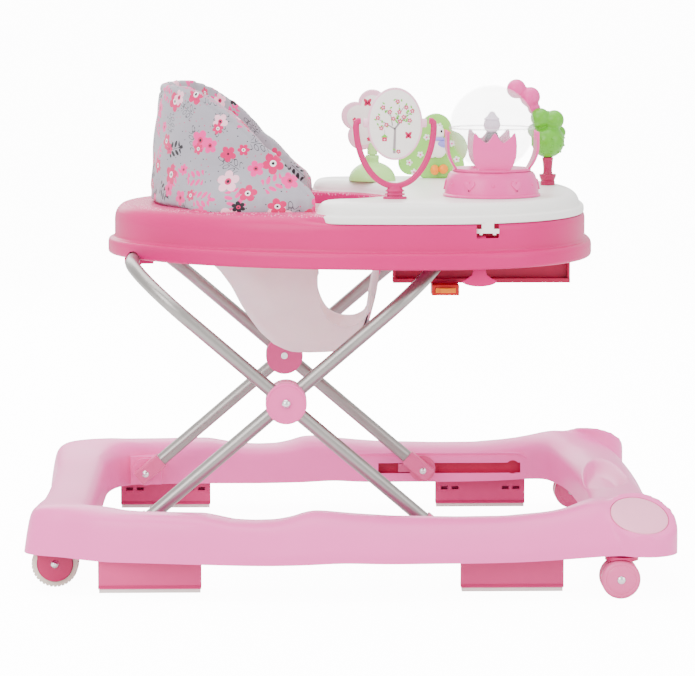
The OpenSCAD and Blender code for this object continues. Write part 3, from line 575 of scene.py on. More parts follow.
rows = [tray_ring(p[:, 0], p[:, 1]) for p in profile]
hole = egg(seat_x, 142, 124, 145, 2.3, 2.3, tray_steps)
for t in np.linspace(0, 1, 14)[1:]:
    plan = rows[len(profile) - 1][:, :2] * (1 - t) + hole * t
    rows.append(np.column_stack([plan, np.full(tray_steps, 428.0)]))
for inset, height in ((0.8, 427.2), (1.2, 425.5), (1.2, 414)):
    rows.append(np.column_stack([(hole - [seat_x, 0]) * (1 - inset / 140) + [seat_x, 0],
                                 np.full(tray_steps, height)]))
magenta, shader, where = begin("magenta_plastic")
cloud = where.node("TexNoise", sockets={"Vector": where, "Scale": 12.0, "Detail": 3.0})
pebble = where.node("TexNoise", sockets={"Vector": where, "Scale": 480.0, "Detail": 2.0})
spot = where.node("TexVoronoi", {"feature": "F1"}, {"Vector": where, "Scale": 330.0})
height_of = where.node("SeparateXYZ", sockets={0: where}, output=2)
deck_mask = height_of.between(0.4235, 0.427)
speckle = (1 - spot.between(0.15, 0.42)) * deck_mask
body_tone = cloud.blend(srgb(196, 0, 100), srgb(206, 2, 110))
feed(shader, Base_Color=(speckle * 0.75).blend(body_tone, srgb(248, 190, 212)),
     Roughness=0.3 + cloud * 0.1 + deck_mask * 0.16,
     Normal=pebble.node("Bump", sockets={"Strength": 0.14, "Distance": 0.0007,
                                         "Height": pebble * 0.5 + speckle}))
shader.inputs["Specular IOR Level"].default_value = 0.22
shader.inputs["Coat Weight"].default_value = 0.03
shader.inputs["Coat Roughness"].default_value = 0.2
tray = add_piece("tray_moulding", [lofted(np.stack(rows), caps=False)], magenta)
thick = tray.modifiers.new("wall", "SOLIDIFY")
thick.thickness, thick.offset = 0.0028, -1
applied(tray)
work = bmesh.new()
work.from_mesh(tray.data)
bmesh.ops.recalc_face_normals(work, faces=work.faces)
if work.calc_volume(signed=True) < 0:
    bmesh.ops.reverse_faces(work, faces=work.faces)
work.to_mesh(tray.data)
work.free()
window = [[144, 403], [145, 402], [169, 402], [170, 403], [170, 430], [144, 430]]
notch = [[-262, 350], [-243, 350], [-243, 367], [-244.5, 371], [-248, 375], [-252.5, 376.5],
         [-257, 375], [-260.5, 371], [-262, 367]]
carve(tray, [upright(window, 224, 262), upright(window, -262, -224)])
carve(tray, [upright(notch, 80, 150), upright(notch, -150, -80)])
tray.data.shade_smooth()
tray.data.set_sharp_from_angle(angle=radians(40))
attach(tray, "tray")
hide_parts("tray_shell")
plain(["bar_clamps"], magenta)
under_magenta = moulded("under_tray_plastic", srgb(172, 4, 66), 0.42)
plain(["guide_channels"], under_magenta)
red = moulded("latch_red_plastic", srgb(200, 10, 8), 0.34)
amber = moulded("latch_amber_plastic", srgb(248, 140, 6), 0.34)
plain(["latch_housing"], red)
plain(["latch_button"], amber)


def outward(outline):
    """Unit normals of a closed outline drawn anticlockwise."""
    along = np.roll(outline, -1, 0) - np.roll(outline, 1, 0)
    along /= np.linalg.norm(along, axis=1)[:, None] + 1e-9
    return np.stack([along[:, 1], -along[:, 0]], 1)


def plate(outline, low, high, edge=1.2, steps=4):
    """Plate with a flat outline in X and Z between two Y values, its edges rounded by `edge`.

    Rows are the outline pulled in along its normals by edge * (1 - sin t) at the depth edge * (1 - cos t).
    """
    outline = np.asarray(outline, float)
    area = np.sum(outline[:, 0] * np.roll(outline[:, 1], -1) - outline[:, 1] * np.roll(outline[:, 0], -1))
    outline = outline if area > 0 else outline[::-1]
    out = outward(outline)
    t = np.linspace(0, pi / 2, steps + 1)
    rows_at = [(edge * (1 - np.sin(v)), low + edge * (1 - np.cos(v))) for v in t]
    rows_at += [(edge * (1 - np.sin(v)), high - edge * (1 - np.cos(v))) for v in t[::-1]]
    grid = []
    for inset, y in rows_at:
        line = outline - out * inset
        grid.append(np.stack([line[:, 0], np.full(len(line), y), line[:, 1]], 1))
    return lofted(np.stack(grid))


# Storage hooks: flat mushroom heads that hang below the tray edge on each side.
t = np.radians(np.arange(0, 181, 10))
cap_line = np.stack([148 + 20 * np.cos(-t), 352.5 + 6.5 * np.sin(-t)], 1)
hook_line = np.vstack([cap_line[::-1], [[134, 355.5], [139.5, 359.5], [141, 366], [141, 404],
                                        [155, 404], [155, 366], [156.5, 359.5],
                                        [162, 355.5]][::-1]])
hooks = [plate(hook_line, *sorted((hand * 229.5, hand * 233.5)), 1.0) for hand in (1, -1)]
hooks += [upright([[141, 384], [155, 384], [155, 403], [141, 403]],
                  *sorted((hand * 232.6, hand * 238.5))) for hand in (1, -1)]
add_piece("mushroom_hooks", hooks, magenta, "tray", ["storage_hooks"])

# ---------------------------------------------------------------------------------------------------
# White toy tray: a horseshoe that fits over the tray's front shoulder, with a flared lower band, a
# rounded raised top, and T-shaped tabs that drop into the windows in the tray's side walls.
# ---------------------------------------------------------------------------------------------------
white = moulded("white_plastic", srgb(246, 244, 240), 0.3, 0.2, clouding=0.02)
turn = np.linspace(-1, 1, 141) * 1.805
outer_part = egg(75, 211.5, 353, 249, angles=turn)
outer_part = outer_part[outer_part[:, 0] > -8]
lobe = np.linspace(0, pi, 34)[1:-1]
top_y, low_y = outer_part[-1, 1], 146.0
lobe_part = np.stack([-8 - 35 * np.sin(lobe), (top_y + low_y) / 2 + (top_y - low_y) / 2 * np.cos(lobe)],
                     1)
cut = np.linspace(0.985, -0.985, 120)
cut_part = egg(seat_x, 152, 150, 167, 2.3, 2.3, angles=cut)
cut_part = cut_part[cut_part[:, 0] > -9]
white_line = np.vstack([outer_part, lobe_part, cut_part, (lobe_part * [1, -1])[::-1]])
run = np.r_[0, np.cumsum(np.linalg.norm(np.diff(np.vstack([white_line, white_line[:1]]), axis=0),
                                        axis=1))]
at = np.linspace(0, run[-1], 520, endpoint=False)
closed_line = np.vstack([white_line, white_line[:1]])
white_line = np.stack([np.interp(at, run, closed_line[:, k]) for k in (0, 1)], 1)
for _ in range(6):
    white_line = (np.roll(white_line, 1, 0) + 2 * white_line + np.roll(white_line, -1, 0)) / 4
white_out = outward(white_line)
white_profile = evened([[1.2, 418.4], [0.1, 419.2], [0, 421], [0.2, 425.2], [1, 426.6], [4.4, 427.4],
                        [5.4, 428.2], [5.8, 430],
                        [6.6, 433.5], [8.6, 437.4], [11.6, 440.2], [15, 441.6], [19, 442]], 44, 1)
white_rows = [np.column_stack([white_line - white_out * d, np.full(len(white_line), z)]) for d,
              z in white_profile]
white_tray = add_piece("white_toy_tray", [lofted(np.stack(white_rows), caps=False)], white,
                       turn_out=False)
work = bmesh.new()
work.from_mesh(white_tray.data)
rim = [e for e in work.edges if e.is_boundary and all(v.co.z > 0.4415 for v in e.verts)]
bmesh.ops.triangle_fill(work, use_beauty=True, edges=rim)
bmesh.ops.recalc_face_normals(work, faces=work.faces)
if sum(f.normal.z for f in work.faces) < 0:
    bmesh.ops.reverse_faces(work, faces=work.faces)
work.to_mesh(white_tray.data)
work.free()
shell = white_tray.modifiers.new("wall", "SOLIDIFY")
shell.thickness, shell.offset = 0.0026, -1
applied(white_tray)
white_tray.data.shade_smooth()
white_tray.data.set_sharp_from_angle(angle=radians(40))
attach(white_tray, "activity_tray")
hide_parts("white_tray")
tabs = []
for hand in (1, -1):
    t_line = [[150, 421], [150, 412.5], [144, 412.5], [144, 407.5], [147.5, 407.5], [147.5, 405.6],
              [151, 405.6], [151, 407.5],
              [163, 407.5], [163, 405.6], [166.5, 405.6], [166.5, 407.5], [170, 407.5], [170, 412.5],
              [164, 412.5], [164, 421]]
    tabs.append(plate(t_line, *sorted((hand * 234.2, hand * 238.4)), 0.5, steps=2))
add_piece("tray_tabs", tabs, white, "activity_tray")

# ---------------------------------------------------------------------------------------------------
# Fabric print: pale grey cotton with scattered pink flowers, outline leaf sprigs, pink leaves and dots.
# Each kind of motif sits once in every cell of its own turned grid, shifted and turned by chance.
# ---------------------------------------------------------------------------------------------------
INK = srgb(34, 30, 36)
HOT = srgb(208, 0, 96)
MID = srgb(236, 44, 140)
PALE = srgb(248, 186, 206)


def cell(cloth, size, seed, wander, slant):
    """One grid of cells: local x, y from the motif's centre in millimetres, and the cell's chance value."""
    spun = cloth.node("VectorRotate", {"rotation_type": "Z_AXIS"}, {"Vector": cloth, "Angle": slant})
    spread = spun.node("VectorMath", {"operation": "MULTIPLY_ADD"},
                       {0: spun, 1: (1 / size, 1 / size, 0.0), 2: (seed * 7.3, seed * 3.1, 0.0)})
    floor_of = spread.node("VectorMath", {"operation": "FLOOR"}, {0: spread})
    chance = floor_of.node("TexWhiteNoise", {"noise_dimensions": "3D"}, {"Vector": floor_of}, 1)
    luck = chance.node("SeparateXYZ", sockets={0: chance})
    luck_y = chance.node("SeparateXYZ", sockets={0: chance}, output=1)
    luck_z = chance.node("SeparateXYZ", sockets={0: chance}, output=2)
    within = spread.node("VectorMath", {"operation": "SUBTRACT"}, {0: spread, 1: floor_of})
    x = (within.node("SeparateXYZ", sockets={0: within}) - 0.5 - (luck - 0.5) * wander) * size
    y = (within.node("SeparateXYZ", sockets={0: within}, output=1) - 0.5 - (luck_y - 0.5) * wander) * size
    spin = luck_z * 6.283
    c, s = spin.maths("COSINE"), spin.maths("SINE")
    return x * c - y * s, x * s + y * c, luck, luck_y


def flower(x, y, reach, petals, pinch=0.42):
    """1 inside a flower whose edge is reach * (1 - pinch + pinch * |cos(petals * angle / 2)|)."""
    r = (x * x + y * y).maths("SQRT")
    wave = (y.maths("ARCTAN2", x) * (petals / 2)).maths("COSINE").maths("ABSOLUTE").maths("POWER", 0.7)
    return (wave * (reach * pinch) + reach * (1 - pinch)) > r, r


def sprig(x, y, length, pitch, leaf):
    """Leaves in pairs along a stem on the x axis: 1 on the leaves, and 1 on the stem."""
    reachable = x.maths("ABSOLUTE") < length / 2
    k = (x / pitch).maths("FLOOR")
    along = x - (k + 0.5) * pitch
    aside = y.maths("ABSOLUTE") - leaf * 0.72
    u, v = along * 0.6 + aside * 0.8, aside * 0.6 - along * 0.8
    shape = (u / (leaf * 0.62)).maths("POWER", 2.0) + (v / (leaf * 0.3)).maths("POWER", 2.0)
    tip = (x - length / 2 - leaf * 0.3)
    tip_shape = (tip / (leaf * 0.6)).maths("POWER", 2.0) + (y / (leaf * 0.3)).maths("POWER", 2.0)
    best = (shape + (1 - reachable) * 50).maths("MINIMUM", tip_shape)
    stem = (y.maths("ABSOLUTE") < 0.28) * reachable
    return best, stem


def printed_cotton(name, ground, weave=0.3):
    """The printed cotton itself, on the piece's own map in millimetres."""
    material, shader, where = begin(name)
    cloth = where.node("UVMap", {"uv_map": "cloth"})
    colour = cloth.node("TexNoise", sockets={"Vector": where, "Scale": 24.0}).blend(
        tuple(c * 0.95 for c in ground[:3]) + (1,), ground)
    x, y, luck, luck_y = cell(cloth, 9.0, 1, 0.8, 0.2)
    dot = ((x * x + y * y) < 0.5) * (luck_y > 0.42)
    colour = dot.blend(colour, (luck > 0.5).blend(INK, HOT))
    x, y, luck, luck_y = cell(cloth, 38.0, 2, 0.4, 0.35)
    best, stem = sprig(x, y, 22.0, 7.3, 7.0)
    drawn_on = (best < 1.0) * (luck_y > 0.04)
    colour = ((luck > 0.52) * drawn_on).blend(colour, MID)
    outline = (luck < 0.52) * drawn_on * ((best > 0.62) + (luck < 0.26) > 0.5)
    colour = (outline + stem * (luck < 0.52) * (luck_y > 0.04) > 0.5).blend(colour, INK)
    for size, seed, wander, slant, reach, petals, low, high in [
            (44.0, 3, 0.4, 0.1, 12.5, 5, 0.0, 0.62), (35.0, 4, 0.45, -0.4, 9.5, 5, 0.3, 1.0),
            (37.0, 5, 0.6, 0.75, 7.0, 6, 0.0, 0.5)]:
        x, y, luck, luck_y = cell(cloth, size, seed, wander, slant)
        chosen = (luck > low) * (luck < high)
        inside, r = flower(x, y, reach, petals)
        tone = (luck_y > 0.45).blend((luck_y > 0.2).blend(INK if seed == 5 else PALE, MID), HOT)
        colour = (inside * chosen).blend(colour, tone)
        colour = ((r < reach * 0.3) * chosen).blend(colour,
                                                    (luck_y > 0.5).blend(HOT, srgb(246, 240, 242)))
        colour = ((r < reach * 0.14) * chosen).blend(colour, INK)
    threads = cloth.node("TexWave", {"wave_type": "BANDS", "bands_direction": "X"},
                         {"Vector": cloth, "Scale": 0.55})
    picks = cloth.node("TexWave", {"wave_type": "BANDS", "bands_direction": "Y"},
                       {"Vector": cloth, "Scale": 0.55})
    crease = where.node("TexNoise", sockets={"Vector": where, "Scale": 30.0, "Detail": 3.0})
    weave_bump = threads.node("Bump", sockets={"Strength": weave, "Distance": 0.0003,
                                               "Height": threads + picks})
    crease_bump = crease.node("Bump", sockets={"Strength": 0.35, "Distance": 0.004, "Height": crease,
                                               "Normal": weave_bump})
    shader.inputs["Sheen Weight"].default_value = 0.25
    shader.inputs["Specular IOR Level"].default_value = 0.3
    feed(shader, Base_Color=colour, Roughness=0.82 + crease * 0.1, Normal=crease_bump)
    return material


cotton = printed_cotton("printed_cotton", srgb(158, 154, 164))


def map_cloth(piece, across, up):
    """Writes the piece's own map, in millimetres, from values worked out at its vertices."""
    loops = np.empty(len(piece.data.loops), int)
    piece.data.loops.foreach_get("vertex_index", loops)
    for old in list(piece.data.uv_layers):
        piece.data.uv_layers.remove(old)
    layer = piece.data.uv_layers.new(name="cloth")
    layer.data.foreach_set("uv", np.stack([across[loops], up[loops]], 1).astype(np.float32).ravel())


# ---------------------------------------------------------------------------------------------------
# Seat back: a padded, stiffened fabric wall that stands in the seat hole, high at the rear and
# sloping down to two wings, with a bound top edge. It is padded by a cloth simulation, then gets its
# top seam, the gathers at the wing feet and its map for the print.
# ---------------------------------------------------------------------------------------------------
wing_end = -44.0
wing_angle = np.arccos(((wing_end - seat_x) / 150) ** 1.15)
back_line = [(-240, 575), (-224, 577), (-200, 574), (-182, 569), (-160, 558), (-133, 541), (-107, 520),
             (-81, 495), (-60, 472),
             (-48, 454), (-40, 436)]


def back_top(x):
    """Height of the top edge at x."""
    return np.interp(x, *np.array(back_line, float).T)


angles = np.linspace(wing_angle, 2 * pi - wing_angle, 150)
foot = egg(seat_x, 150, 144, 161, 2.3, 2.3, angles=angles)
inward = np.stack([seat_x - foot[:, 0], -foot[:, 1]], 1)
inward /= np.linalg.norm(inward, axis=1)[:, None]
top = np.convolve(np.pad(back_top(foot[:, 0]), 4, "edge"), np.ones(9) / 9, "valid")
# (share of the lean, inset, share of the height) round the section, outer foot to inner foot
ring = evened([[0, 1.5, 0], [0.25, 0.2, 0.25], [0.6, 0.4, 0.6], [0.9, 1.2, 0.9], [1, 3, 0.975],
               [1, 6.5, 1], [1, 10, 0.985], [1, 12, 0.94],
               [0.6, 12.6, 0.6], [0.25, 13.4, 0.25], [0, 13.5, 0]], 40, 1)
lean = 13.0 * (top - 428) / (576 - 428)
inset = lean[:, None] * ring[None, :, 0] + ring[None, :, 1]
height = 428.6 + (top - 428.6)[:, None] * ring[None, :, 2]
pad_grid = np.concatenate([foot[:, None, :] + inward[:, None, :] * inset[..., None], height[..., None]],
                          -1)
back = add_piece("seat_back_pad", [lofted(pad_grid)], cotton)
fine = back.modifiers.new("mesh", "REMESH")
fine.mode, fine.voxel_size = "VOXEL", 0.0045
applied(back)
rest_points = vertices(back)
puff = back.modifiers.new("padding", "CLOTH")
puff.settings.quality = 6
puff.settings.mass = 0.15
puff.settings.tension_stiffness = puff.settings.compression_stiffness = 18
puff.settings.bending_stiffness = 0.6
puff.settings.use_pressure = True
puff.settings.uniform_pressure_force = 3.5
puff.settings.effector_weights.gravity = 0
held = back.vertex_groups.new(name="held")
held.add([int(i) for i in np.flatnonzero(rest_points[:, 2] < 433)], 1.0, "REPLACE")
puff.settings.vertex_group_mass = "held"
for number in range(1, 19):
    bpy.context.scene.frame_set(number)
bpy.context.view_layer.update()
seen = back.evaluated_get(bpy.context.evaluated_depsgraph_get())
swollen = np.empty(len(rest_points) * 3)
seen.data.vertices.foreach_get("co", swollen)
shift = swollen.reshape(-1, 3) * 1000 - rest_points
far = np.linalg.norm(shift, axis=1)[:, None]
shift *= np.minimum(1, 5.0 / np.maximum(far, 1e-6))
back.modifiers.clear()
back.vertex_groups.clear()
bpy.context.scene.frame_set(1)
set_vertices(back, rest_points + shift)
settle = back.modifiers.new("settle", "SMOOTH")
settle.factor, settle.iterations = 0.5, 2
finer = back.modifiers.new("finer", "SUBSURF")
finer.levels = finer.render_levels = 1
applied(back)
points = vertices(back)
from_seat = points[:, :2] - [seat_x, 0]
bearing = np.arctan2(from_seat[:, 1], -from_seat[:, 0])
outwards = from_seat / np.linalg.norm(from_seat, axis=1)[:, None]
edge_here = back_top(np.interp(np.abs(bearing),
                               *np.stack([np.abs(np.arctan2(foot[75:, 1], -(foot[75:, 0] - seat_x))),
                                          foot[75:, 0]])))
below = edge_here - points[:, 2]
mean_radius = np.interp(np.abs(bearing), np.abs(np.arctan2(foot[75:, 1], -(foot[75:, 0] - seat_x))),
                        np.linalg.norm(foot[75:] - [seat_x, 0], axis=1))
outside = step(np.linalg.norm(from_seat, axis=1) - mean_radius + 13.0 * np.clip((points[:,
        2] - 428) / 148, 0, 1) + 6.5, -1.5, 1.5)
along_edge = bearing * 150
seam = np.exp(-((below - 15) / 1.6) ** 2)
gather = np.sin(along_edge * 0.55 + 0.8 * np.sin(along_edge * 0.13)) * (1 - step(points[:, 2], 430,
        452)) * step(points[:, 0], -150, -60)
slack = np.sin(along_edge * 0.05 + points[:, 2] * 0.035) * np.sin(points[:,
        2] * 0.06 + along_edge * 0.021) * 1.6
drape = 26 * (1 - step(points[:, 2], 430, 482)) * np.abs(outwards[:, 1]) ** 1.5 * step(points[:, 0],
        -215, -150) * outside
points[:, 2] -= 6 * (1 - step(points[:, 2], 429, 444)) * np.abs(outwards[:,
        1]) ** 1.5 * outside * step(points[:, 0], -215, -150)
points[:, :2] += outwards * drape[:, None]
push = (-1.6 * seam * (0.3 + 0.7 * outside) + 2.0 * gather + slack * step(below, 6,
        40)) * np.where(outside > 0.5, 1, -0.6)
points[:, :2] += outwards * push[:, None]
set_vertices(back, points)
map_cloth(back, along_edge + np.where(outside > 0.5, 0, 410), points[:, 2])
back.data.shade_smooth()
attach(back, "tray")
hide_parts("seat_back")

# ---------------------------------------------------------------------------------------------------
# Sling seat: a thin woven liner hung from the seat hole, a broad rear panel that runs under the child
# and up to a front strap, with a leg hole on each side.
# ---------------------------------------------------------------------------------------------------
liner_cloth, shader, where = begin("liner_fabric")
soft = where.node("TexNoise", sockets={"Vector": where, "Scale": 30.0, "Detail": 4.0})
fine_x = where.node("TexWave", {"wave_type": "BANDS", "bands_direction": "Z"},
                    {"Vector": where, "Scale": 420.0})
fine_y = where.node("TexWave", {"wave_type": "BANDS", "bands_direction": "X"},
                    {"Vector": where, "Scale": 420.0})
weave_bump = fine_x.node("Bump", sockets={"Strength": 0.25, "Distance": 0.0003,
                                          "Height": fine_x + fine_y})
feed(shader, Base_Color=soft.blend(srgb(226, 196, 202), srgb(240, 220, 222)), Roughness=0.8 + soft * 0.12,
     Normal=soft.node("Bump", sockets={"Strength": 0.4, "Distance": 0.005, "Height": soft,
                                       "Normal": weave_bump}))
shader.inputs["Sheen Weight"].default_value = 0.3
shader.inputs["Subsurface Weight"].default_value = 0.25
shader.inputs["Subsurface Scale"].default_value = 0.01
rear_edge = np.array([(-205, 412), (-195, 395), (-178, 374), (-152, 346), (-128, 308), (-103, 270),
                      (-88, 256), (-70, 247.5), (-49, 244.5)], float)
front_edge = np.array([(42, 412), (40, 380), (38, 352), (30, 310), (22, 280), (12, 262), (-5, 250),
                       (-25, 246), (-49, 244.5)], float)
half_edge = np.array([(124, 412), (118, 392), (108, 366), (98, 340), (88, 312), (78, 290), (66, 264),
                      (48, 250), (6, 244.5)], float)
levels = 420 - (420 - 245.5) * np.linspace(0.03, 1, 80) ** 1.0
around = np.linspace(0, 2 * pi, 160, endpoint=False)
sling_rows = []
for z in levels:
    x_rear = np.interp(z, rear_edge[::-1, 1], rear_edge[::-1, 0])
    x_front = np.interp(z, front_edge[::-1, 1], front_edge[::-1, 0])
    half = np.interp(z, half_edge[::-1, 1], half_edge[::-1, 0])
    c, s = np.cos(around), np.sin(around)
    middle, reach = (x_rear + x_front) / 2, (x_front - x_rear) / 2
    sling_rows.append(np.stack([middle + reach * np.sign(c) * np.abs(c) ** 0.75,
                                half * np.sign(s) * np.abs(s) ** 0.75, z + 0 * c], 1))
sling_grid = np.stack(sling_rows)
sag = 1.8 * np.sin(sling_grid[..., 2] * 0.09 + around[None, :] * 2) + 1.2 * np.sin(around[None,
        :] * 9 + sling_grid[..., 2] * 0.04)
sling_grid[..., 0] += sag * np.cos(around)[None, :] * 0.6
sling_grid[..., 1] += sag * np.sin(around)[None, :] * 0.6


def in_leg_hole(points):
    """Below 1 inside the leg holes: |x / 37| ** 2.4 + |z / 68| ** 2.4 about (2, 350), where |y| is over 34."""
    lean_x = points[..., 0] - (points[..., 2] - 352) * 0.02
    value = np.abs((lean_x - 2) / 37) ** 2.4 + np.abs((points[..., 2] - 350) / 68) ** 2.4
    return np.where(np.abs(points[..., 1]) > 34, value, 9)


value = in_leg_hole(sling_grid)
patch_points, patch_faces = lofted(sling_grid, caps=False)
flat_value = value.ravel()
patch_faces = [f for f in patch_faces if max(flat_value[i] for i in f) > 1]
sling = add_piece("sling_seat", [(patch_points, patch_faces)], liner_cloth)
points = vertices(sling)
value = in_leg_hole(points)
near = value < 1.0
scale = np.where(near, np.maximum(value, 0.2) ** (-1 / 2.4), 1)
points[:, 0] = np.where(near, 2 + (points[:, 0] - 2) * np.minimum(scale, 1.25), points[:, 0])
points[:, 2] = np.where(near, 350 + (points[:, 2] - 350) * np.minimum(scale, 1.25), points[:, 2])
set_vertices(sling, points)
cloth_wall = sling.modifiers.new("cloth", "SOLIDIFY")
cloth_wall.thickness, cloth_wall.offset = 0.0014, 1
applied(sling)
sling.data.shade_smooth()
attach(sling, "tray")
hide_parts("seat_sling")

# The front strap of the sling is printed cotton, a narrow band over the middle of the front edge.
strap_z = np.linspace(410, 258, 60)
strap_x = np.interp(strap_z, front_edge[::-1, 1], front_edge[::-1, 0]) + 3.0
strap_y = np.linspace(-33, 33, 24)
strap_rows = np.stack(np.broadcast_arrays(strap_x[:, None] + 1.2 * np.sin(strap_y * 0.2)[None, :],
                                          strap_y[None, :], strap_z[:, None]), -1)
at = np.arange(60 * 24).reshape(60, 24)
strap_faces = [(at[i, k], at[i, k + 1], at[i + 1, k + 1],
                at[i + 1, k]) for i in range(59) for k in range(23)]
strap = add_piece("sling_strap", [(strap_rows.reshape(-1, 3), strap_faces)], cotton, "tray")
band = strap.modifiers.new("band", "SOLIDIFY")
band.thickness, band.offset = 0.002, 0
applied(strap)
map_cloth(strap, vertices(strap)[:, 1] + 900, vertices(strap)[:, 2])
strap.data.shade_smooth()

# ---------------------------------------------------------------------------------------------------
# Mirror: a magenta U-shaped arm on a stepped foot holds an oval disc that flips on two pale bosses.
# The disc's printed side has a blossom tree, a bird house and a butterfly in thin raised ink.
# ---------------------------------------------------------------------------------------------------
arm_magenta = moulded("arm_plastic", srgb(190, 14, 100), 0.28, 0.25)
t = np.linspace(pi, 2 * pi, 60)
u_path = np.stack([45.2 * np.cos(t), 0 * t, 72 * np.sin(t)], 1)
left_end = [[-39.5, 0, 3.4], [-42.4, 0, 3.3], [-44.6, 0, 1.9]]
arm_path = np.vstack([left_end, u_path[1:-1], (np.array(left_end) * [-1, 1, 1])[::-1]])
arm = rod(arm_path, 3.7, 20)
foot_turned = turned([(0, -87), (13.4, -87), (14, -86.4), (14, -85), (13.2, -84.2), (9.2, -84),
                      (9, -82.8), (11.6, -82.5),
                      (11.8, -81.4), (11.4, -80.6), (9, -80.4), (8.8, -78.8), (10.8, -78.4),
                      (11, -77.2), (9.6, -76.4), (7.5, -73),
                      (6.5, -71), (0, -70)], 48)
foot_flat = (foot_turned[0] * [1, 0.55, 1], foot_turned[1])
yoke_at = (53.5, -165, 529)
add_piece("mirror_arm", [moved(arm, yoke_at), moved(foot_flat, yoke_at)], arm_magenta, "activity_tray",
          ["mirror_yoke"])

oval_t = np.arange(96) * 2 * pi / 96
disc_pink = moulded("disc_plastic", srgb(244, 186, 208), 0.28, 0.25)
face_card, shader, where = begin("printed_disc_face")
mottle = where.node("TexNoise", sockets={"Vector": where, "Scale": 40.0, "Detail": 3.0})
feed(shader, Base_Color=mottle.blend(srgb(234, 226, 220), srgb(244, 238, 234)),
     Roughness=0.22 + mottle * 0.1)
shader.inputs["Coat Weight"].default_value = 0.4


def oval_line(half_width, half_height, centre=(0.0, 0.0)):
    return np.stack([centre[0] + half_width * np.cos(oval_t), centre[1] + half_height * np.sin(oval_t)],
                    1)


disc = plate(oval_line(32, 42), -4, 4, 1.8, steps=6)
bosses = [moved(turned([(0, 0), (5.2, 0), (5.2, 4), (4.6, 5.4), (3.6, 5.8), (0, 5.8)], 32),
                (31.2 * e, 0, 1), (0, 90 * e, 0)) for e in (1, -1)]
add_piece("mirror_disc", [moved(p, yoke_at) for p in [disc] + bosses], disc_pink, "mirror",
          ["mirror"])
card = plate(oval_line(29.8, 39.6), -4.35, 4.35, 0.4, steps=2)
add_piece("mirror_card", [moved(card, yoke_at)], face_card, "mirror")


def petal_line(reach, petals, centre=(0, 0), pinch=0.4, turn_by=0.0, count=60):
    """Flower outline: radius reach * (1 - pinch + pinch * |cos(petals * angle / 2)|)."""
    t = np.arange(count) * 2 * pi / count
    r = reach * (1 - pinch + pinch * np.abs(np.cos(petals * t / 2)) ** 0.8)
    return np.stack([centre[0] + r * np.cos(t + turn_by), centre[1] + r * np.sin(t + turn_by)], 1)


def leaf_line(centre, length, breadth, slant, count=14):
    t = np.arange(count) * 2 * pi / count
    x, y = length / 2 * np.cos(t), breadth / 2 * np.sin(t) * (1 - 0.25 * np.cos(t))
    return np.stack([centre[0] + x * np.cos(slant) - y * np.sin(slant),
                     centre[1] + x * np.sin(slant) + y * np.cos(slant)], 1)


def stroke_line(start, end, thick, thin):
    start, end = np.array(start, float), np.array(end, float)
    side = np.array([start[1] - end[1], end[0] - start[0]])
    side /= np.linalg.norm(side)
    return np.array([start - side * thick / 2, end - side * thin / 2, end + side * thin / 2,
                     start + side * thick / 2])


def ink(outlines, front, thick=0.25):
    """Thin raised shapes on a face at y = front, towards the side the face looks to."""
    back_y = front + (0.1 if front < 0 else -0.1)
    return [upright(o, *sorted((front - thick * (1 if front < 0 else -1), back_y))) for o in outlines]


grey_ink = moulded("grey_ink", srgb(150, 140, 142), 0.5, 0.0)
pink_ink = moulded("pink_ink", srgb(196, 24, 84), 0.45, 0.0)
rose_ink = moulded("rose_ink", srgb(240, 176, 196), 0.45, 0.0)
green_ink = moulded("green_ink", srgb(106, 190, 60), 0.45, 0.0)
branches = [((-1, -34), (0, -5), 3.2, 2.4), ((0, -5), (8, 4), 2.2, 1.2), ((8, 4), (20, 14), 1.3, 0.6),
            ((0, -6), (-10, 0), 2.0, 1.2),
            ((-10, 0), (-20, 6), 1.2, 0.6), ((-3, -2), (-6, 16), 1.4, 0.6),
            ((3, -1), (5, 22), 1.4, 0.6), ((-6, 10), (-14, 18), 0.9, 0.5),
            ((5, 12), (12, 22), 0.9, 0.5), ((8, 4), (20, 2), 1.0, 0.5), ((-10, 0), (-16, -6), 0.9, 0.5),
            ((-12, -7), (-12, -14), 0.4, 0.4)]
blooms = [(-20, 7), (-14, 19), (-6, 14), (3, 26), (5, 14), (13, 19), (20, 15), (17, 4), (10, 8),
          (-2, 6), (-10, -1), (-16, -5), (4, -32), (6, 3)]
spread = np.random.default_rng(7)
leaves = [leaf_line((cx + spread.uniform(-5.5, 5.5), cy + spread.uniform(-5, 5)), 3.4, 1.7,
                    spread.uniform(0, pi)) for cx, cy in blooms for _ in range(3)]
leaves = [l for l in leaves if np.all((l[:, 0] / 28) ** 2 + (l[:, 1] / 38) ** 2 < 1)]
house = [[[-15, -20], [-9.5, -20], [-9.5, -15.5], [-15, -15.5]]]
wings = [leaf_line((15.5 + dx, -13 + dz), 5, 3.2, s) for dx, dz,
         s in ((-2, 1.8, 2.2), (2, 1.8, 0.9), (-1.5, -1.8, 4.0), (1.5, -1.8, 5.4))]
face_y = -4.35
for name, outlines, material, lift in [
        ("mirror_tree", [stroke_line(*b) for b in branches], grey_ink, 0.0),
        ("mirror_leaves", leaves + [[[-16.5, -15.5], [-8, -15.5], [-12.2, -11.5]]], green_ink, 0.05),
        ("mirror_blooms", [petal_line(2.7, 5, b, 0.45, i * 0.7, 40) for i,
                           b in enumerate(blooms)] + house + wings, pink_ink, 0.1),
        ("mirror_bloom_hearts", [petal_line(1.1, 4, b, 0.0, 0, 12) for b in blooms] + [petal_line(1.0,
                4, (-12.2, -18), 0, 0, 12)], rose_ink, 0.16)]:
    add_piece(name, [moved(p, yoke_at) for p in ink(outlines, face_y - lift)], material, "mirror")

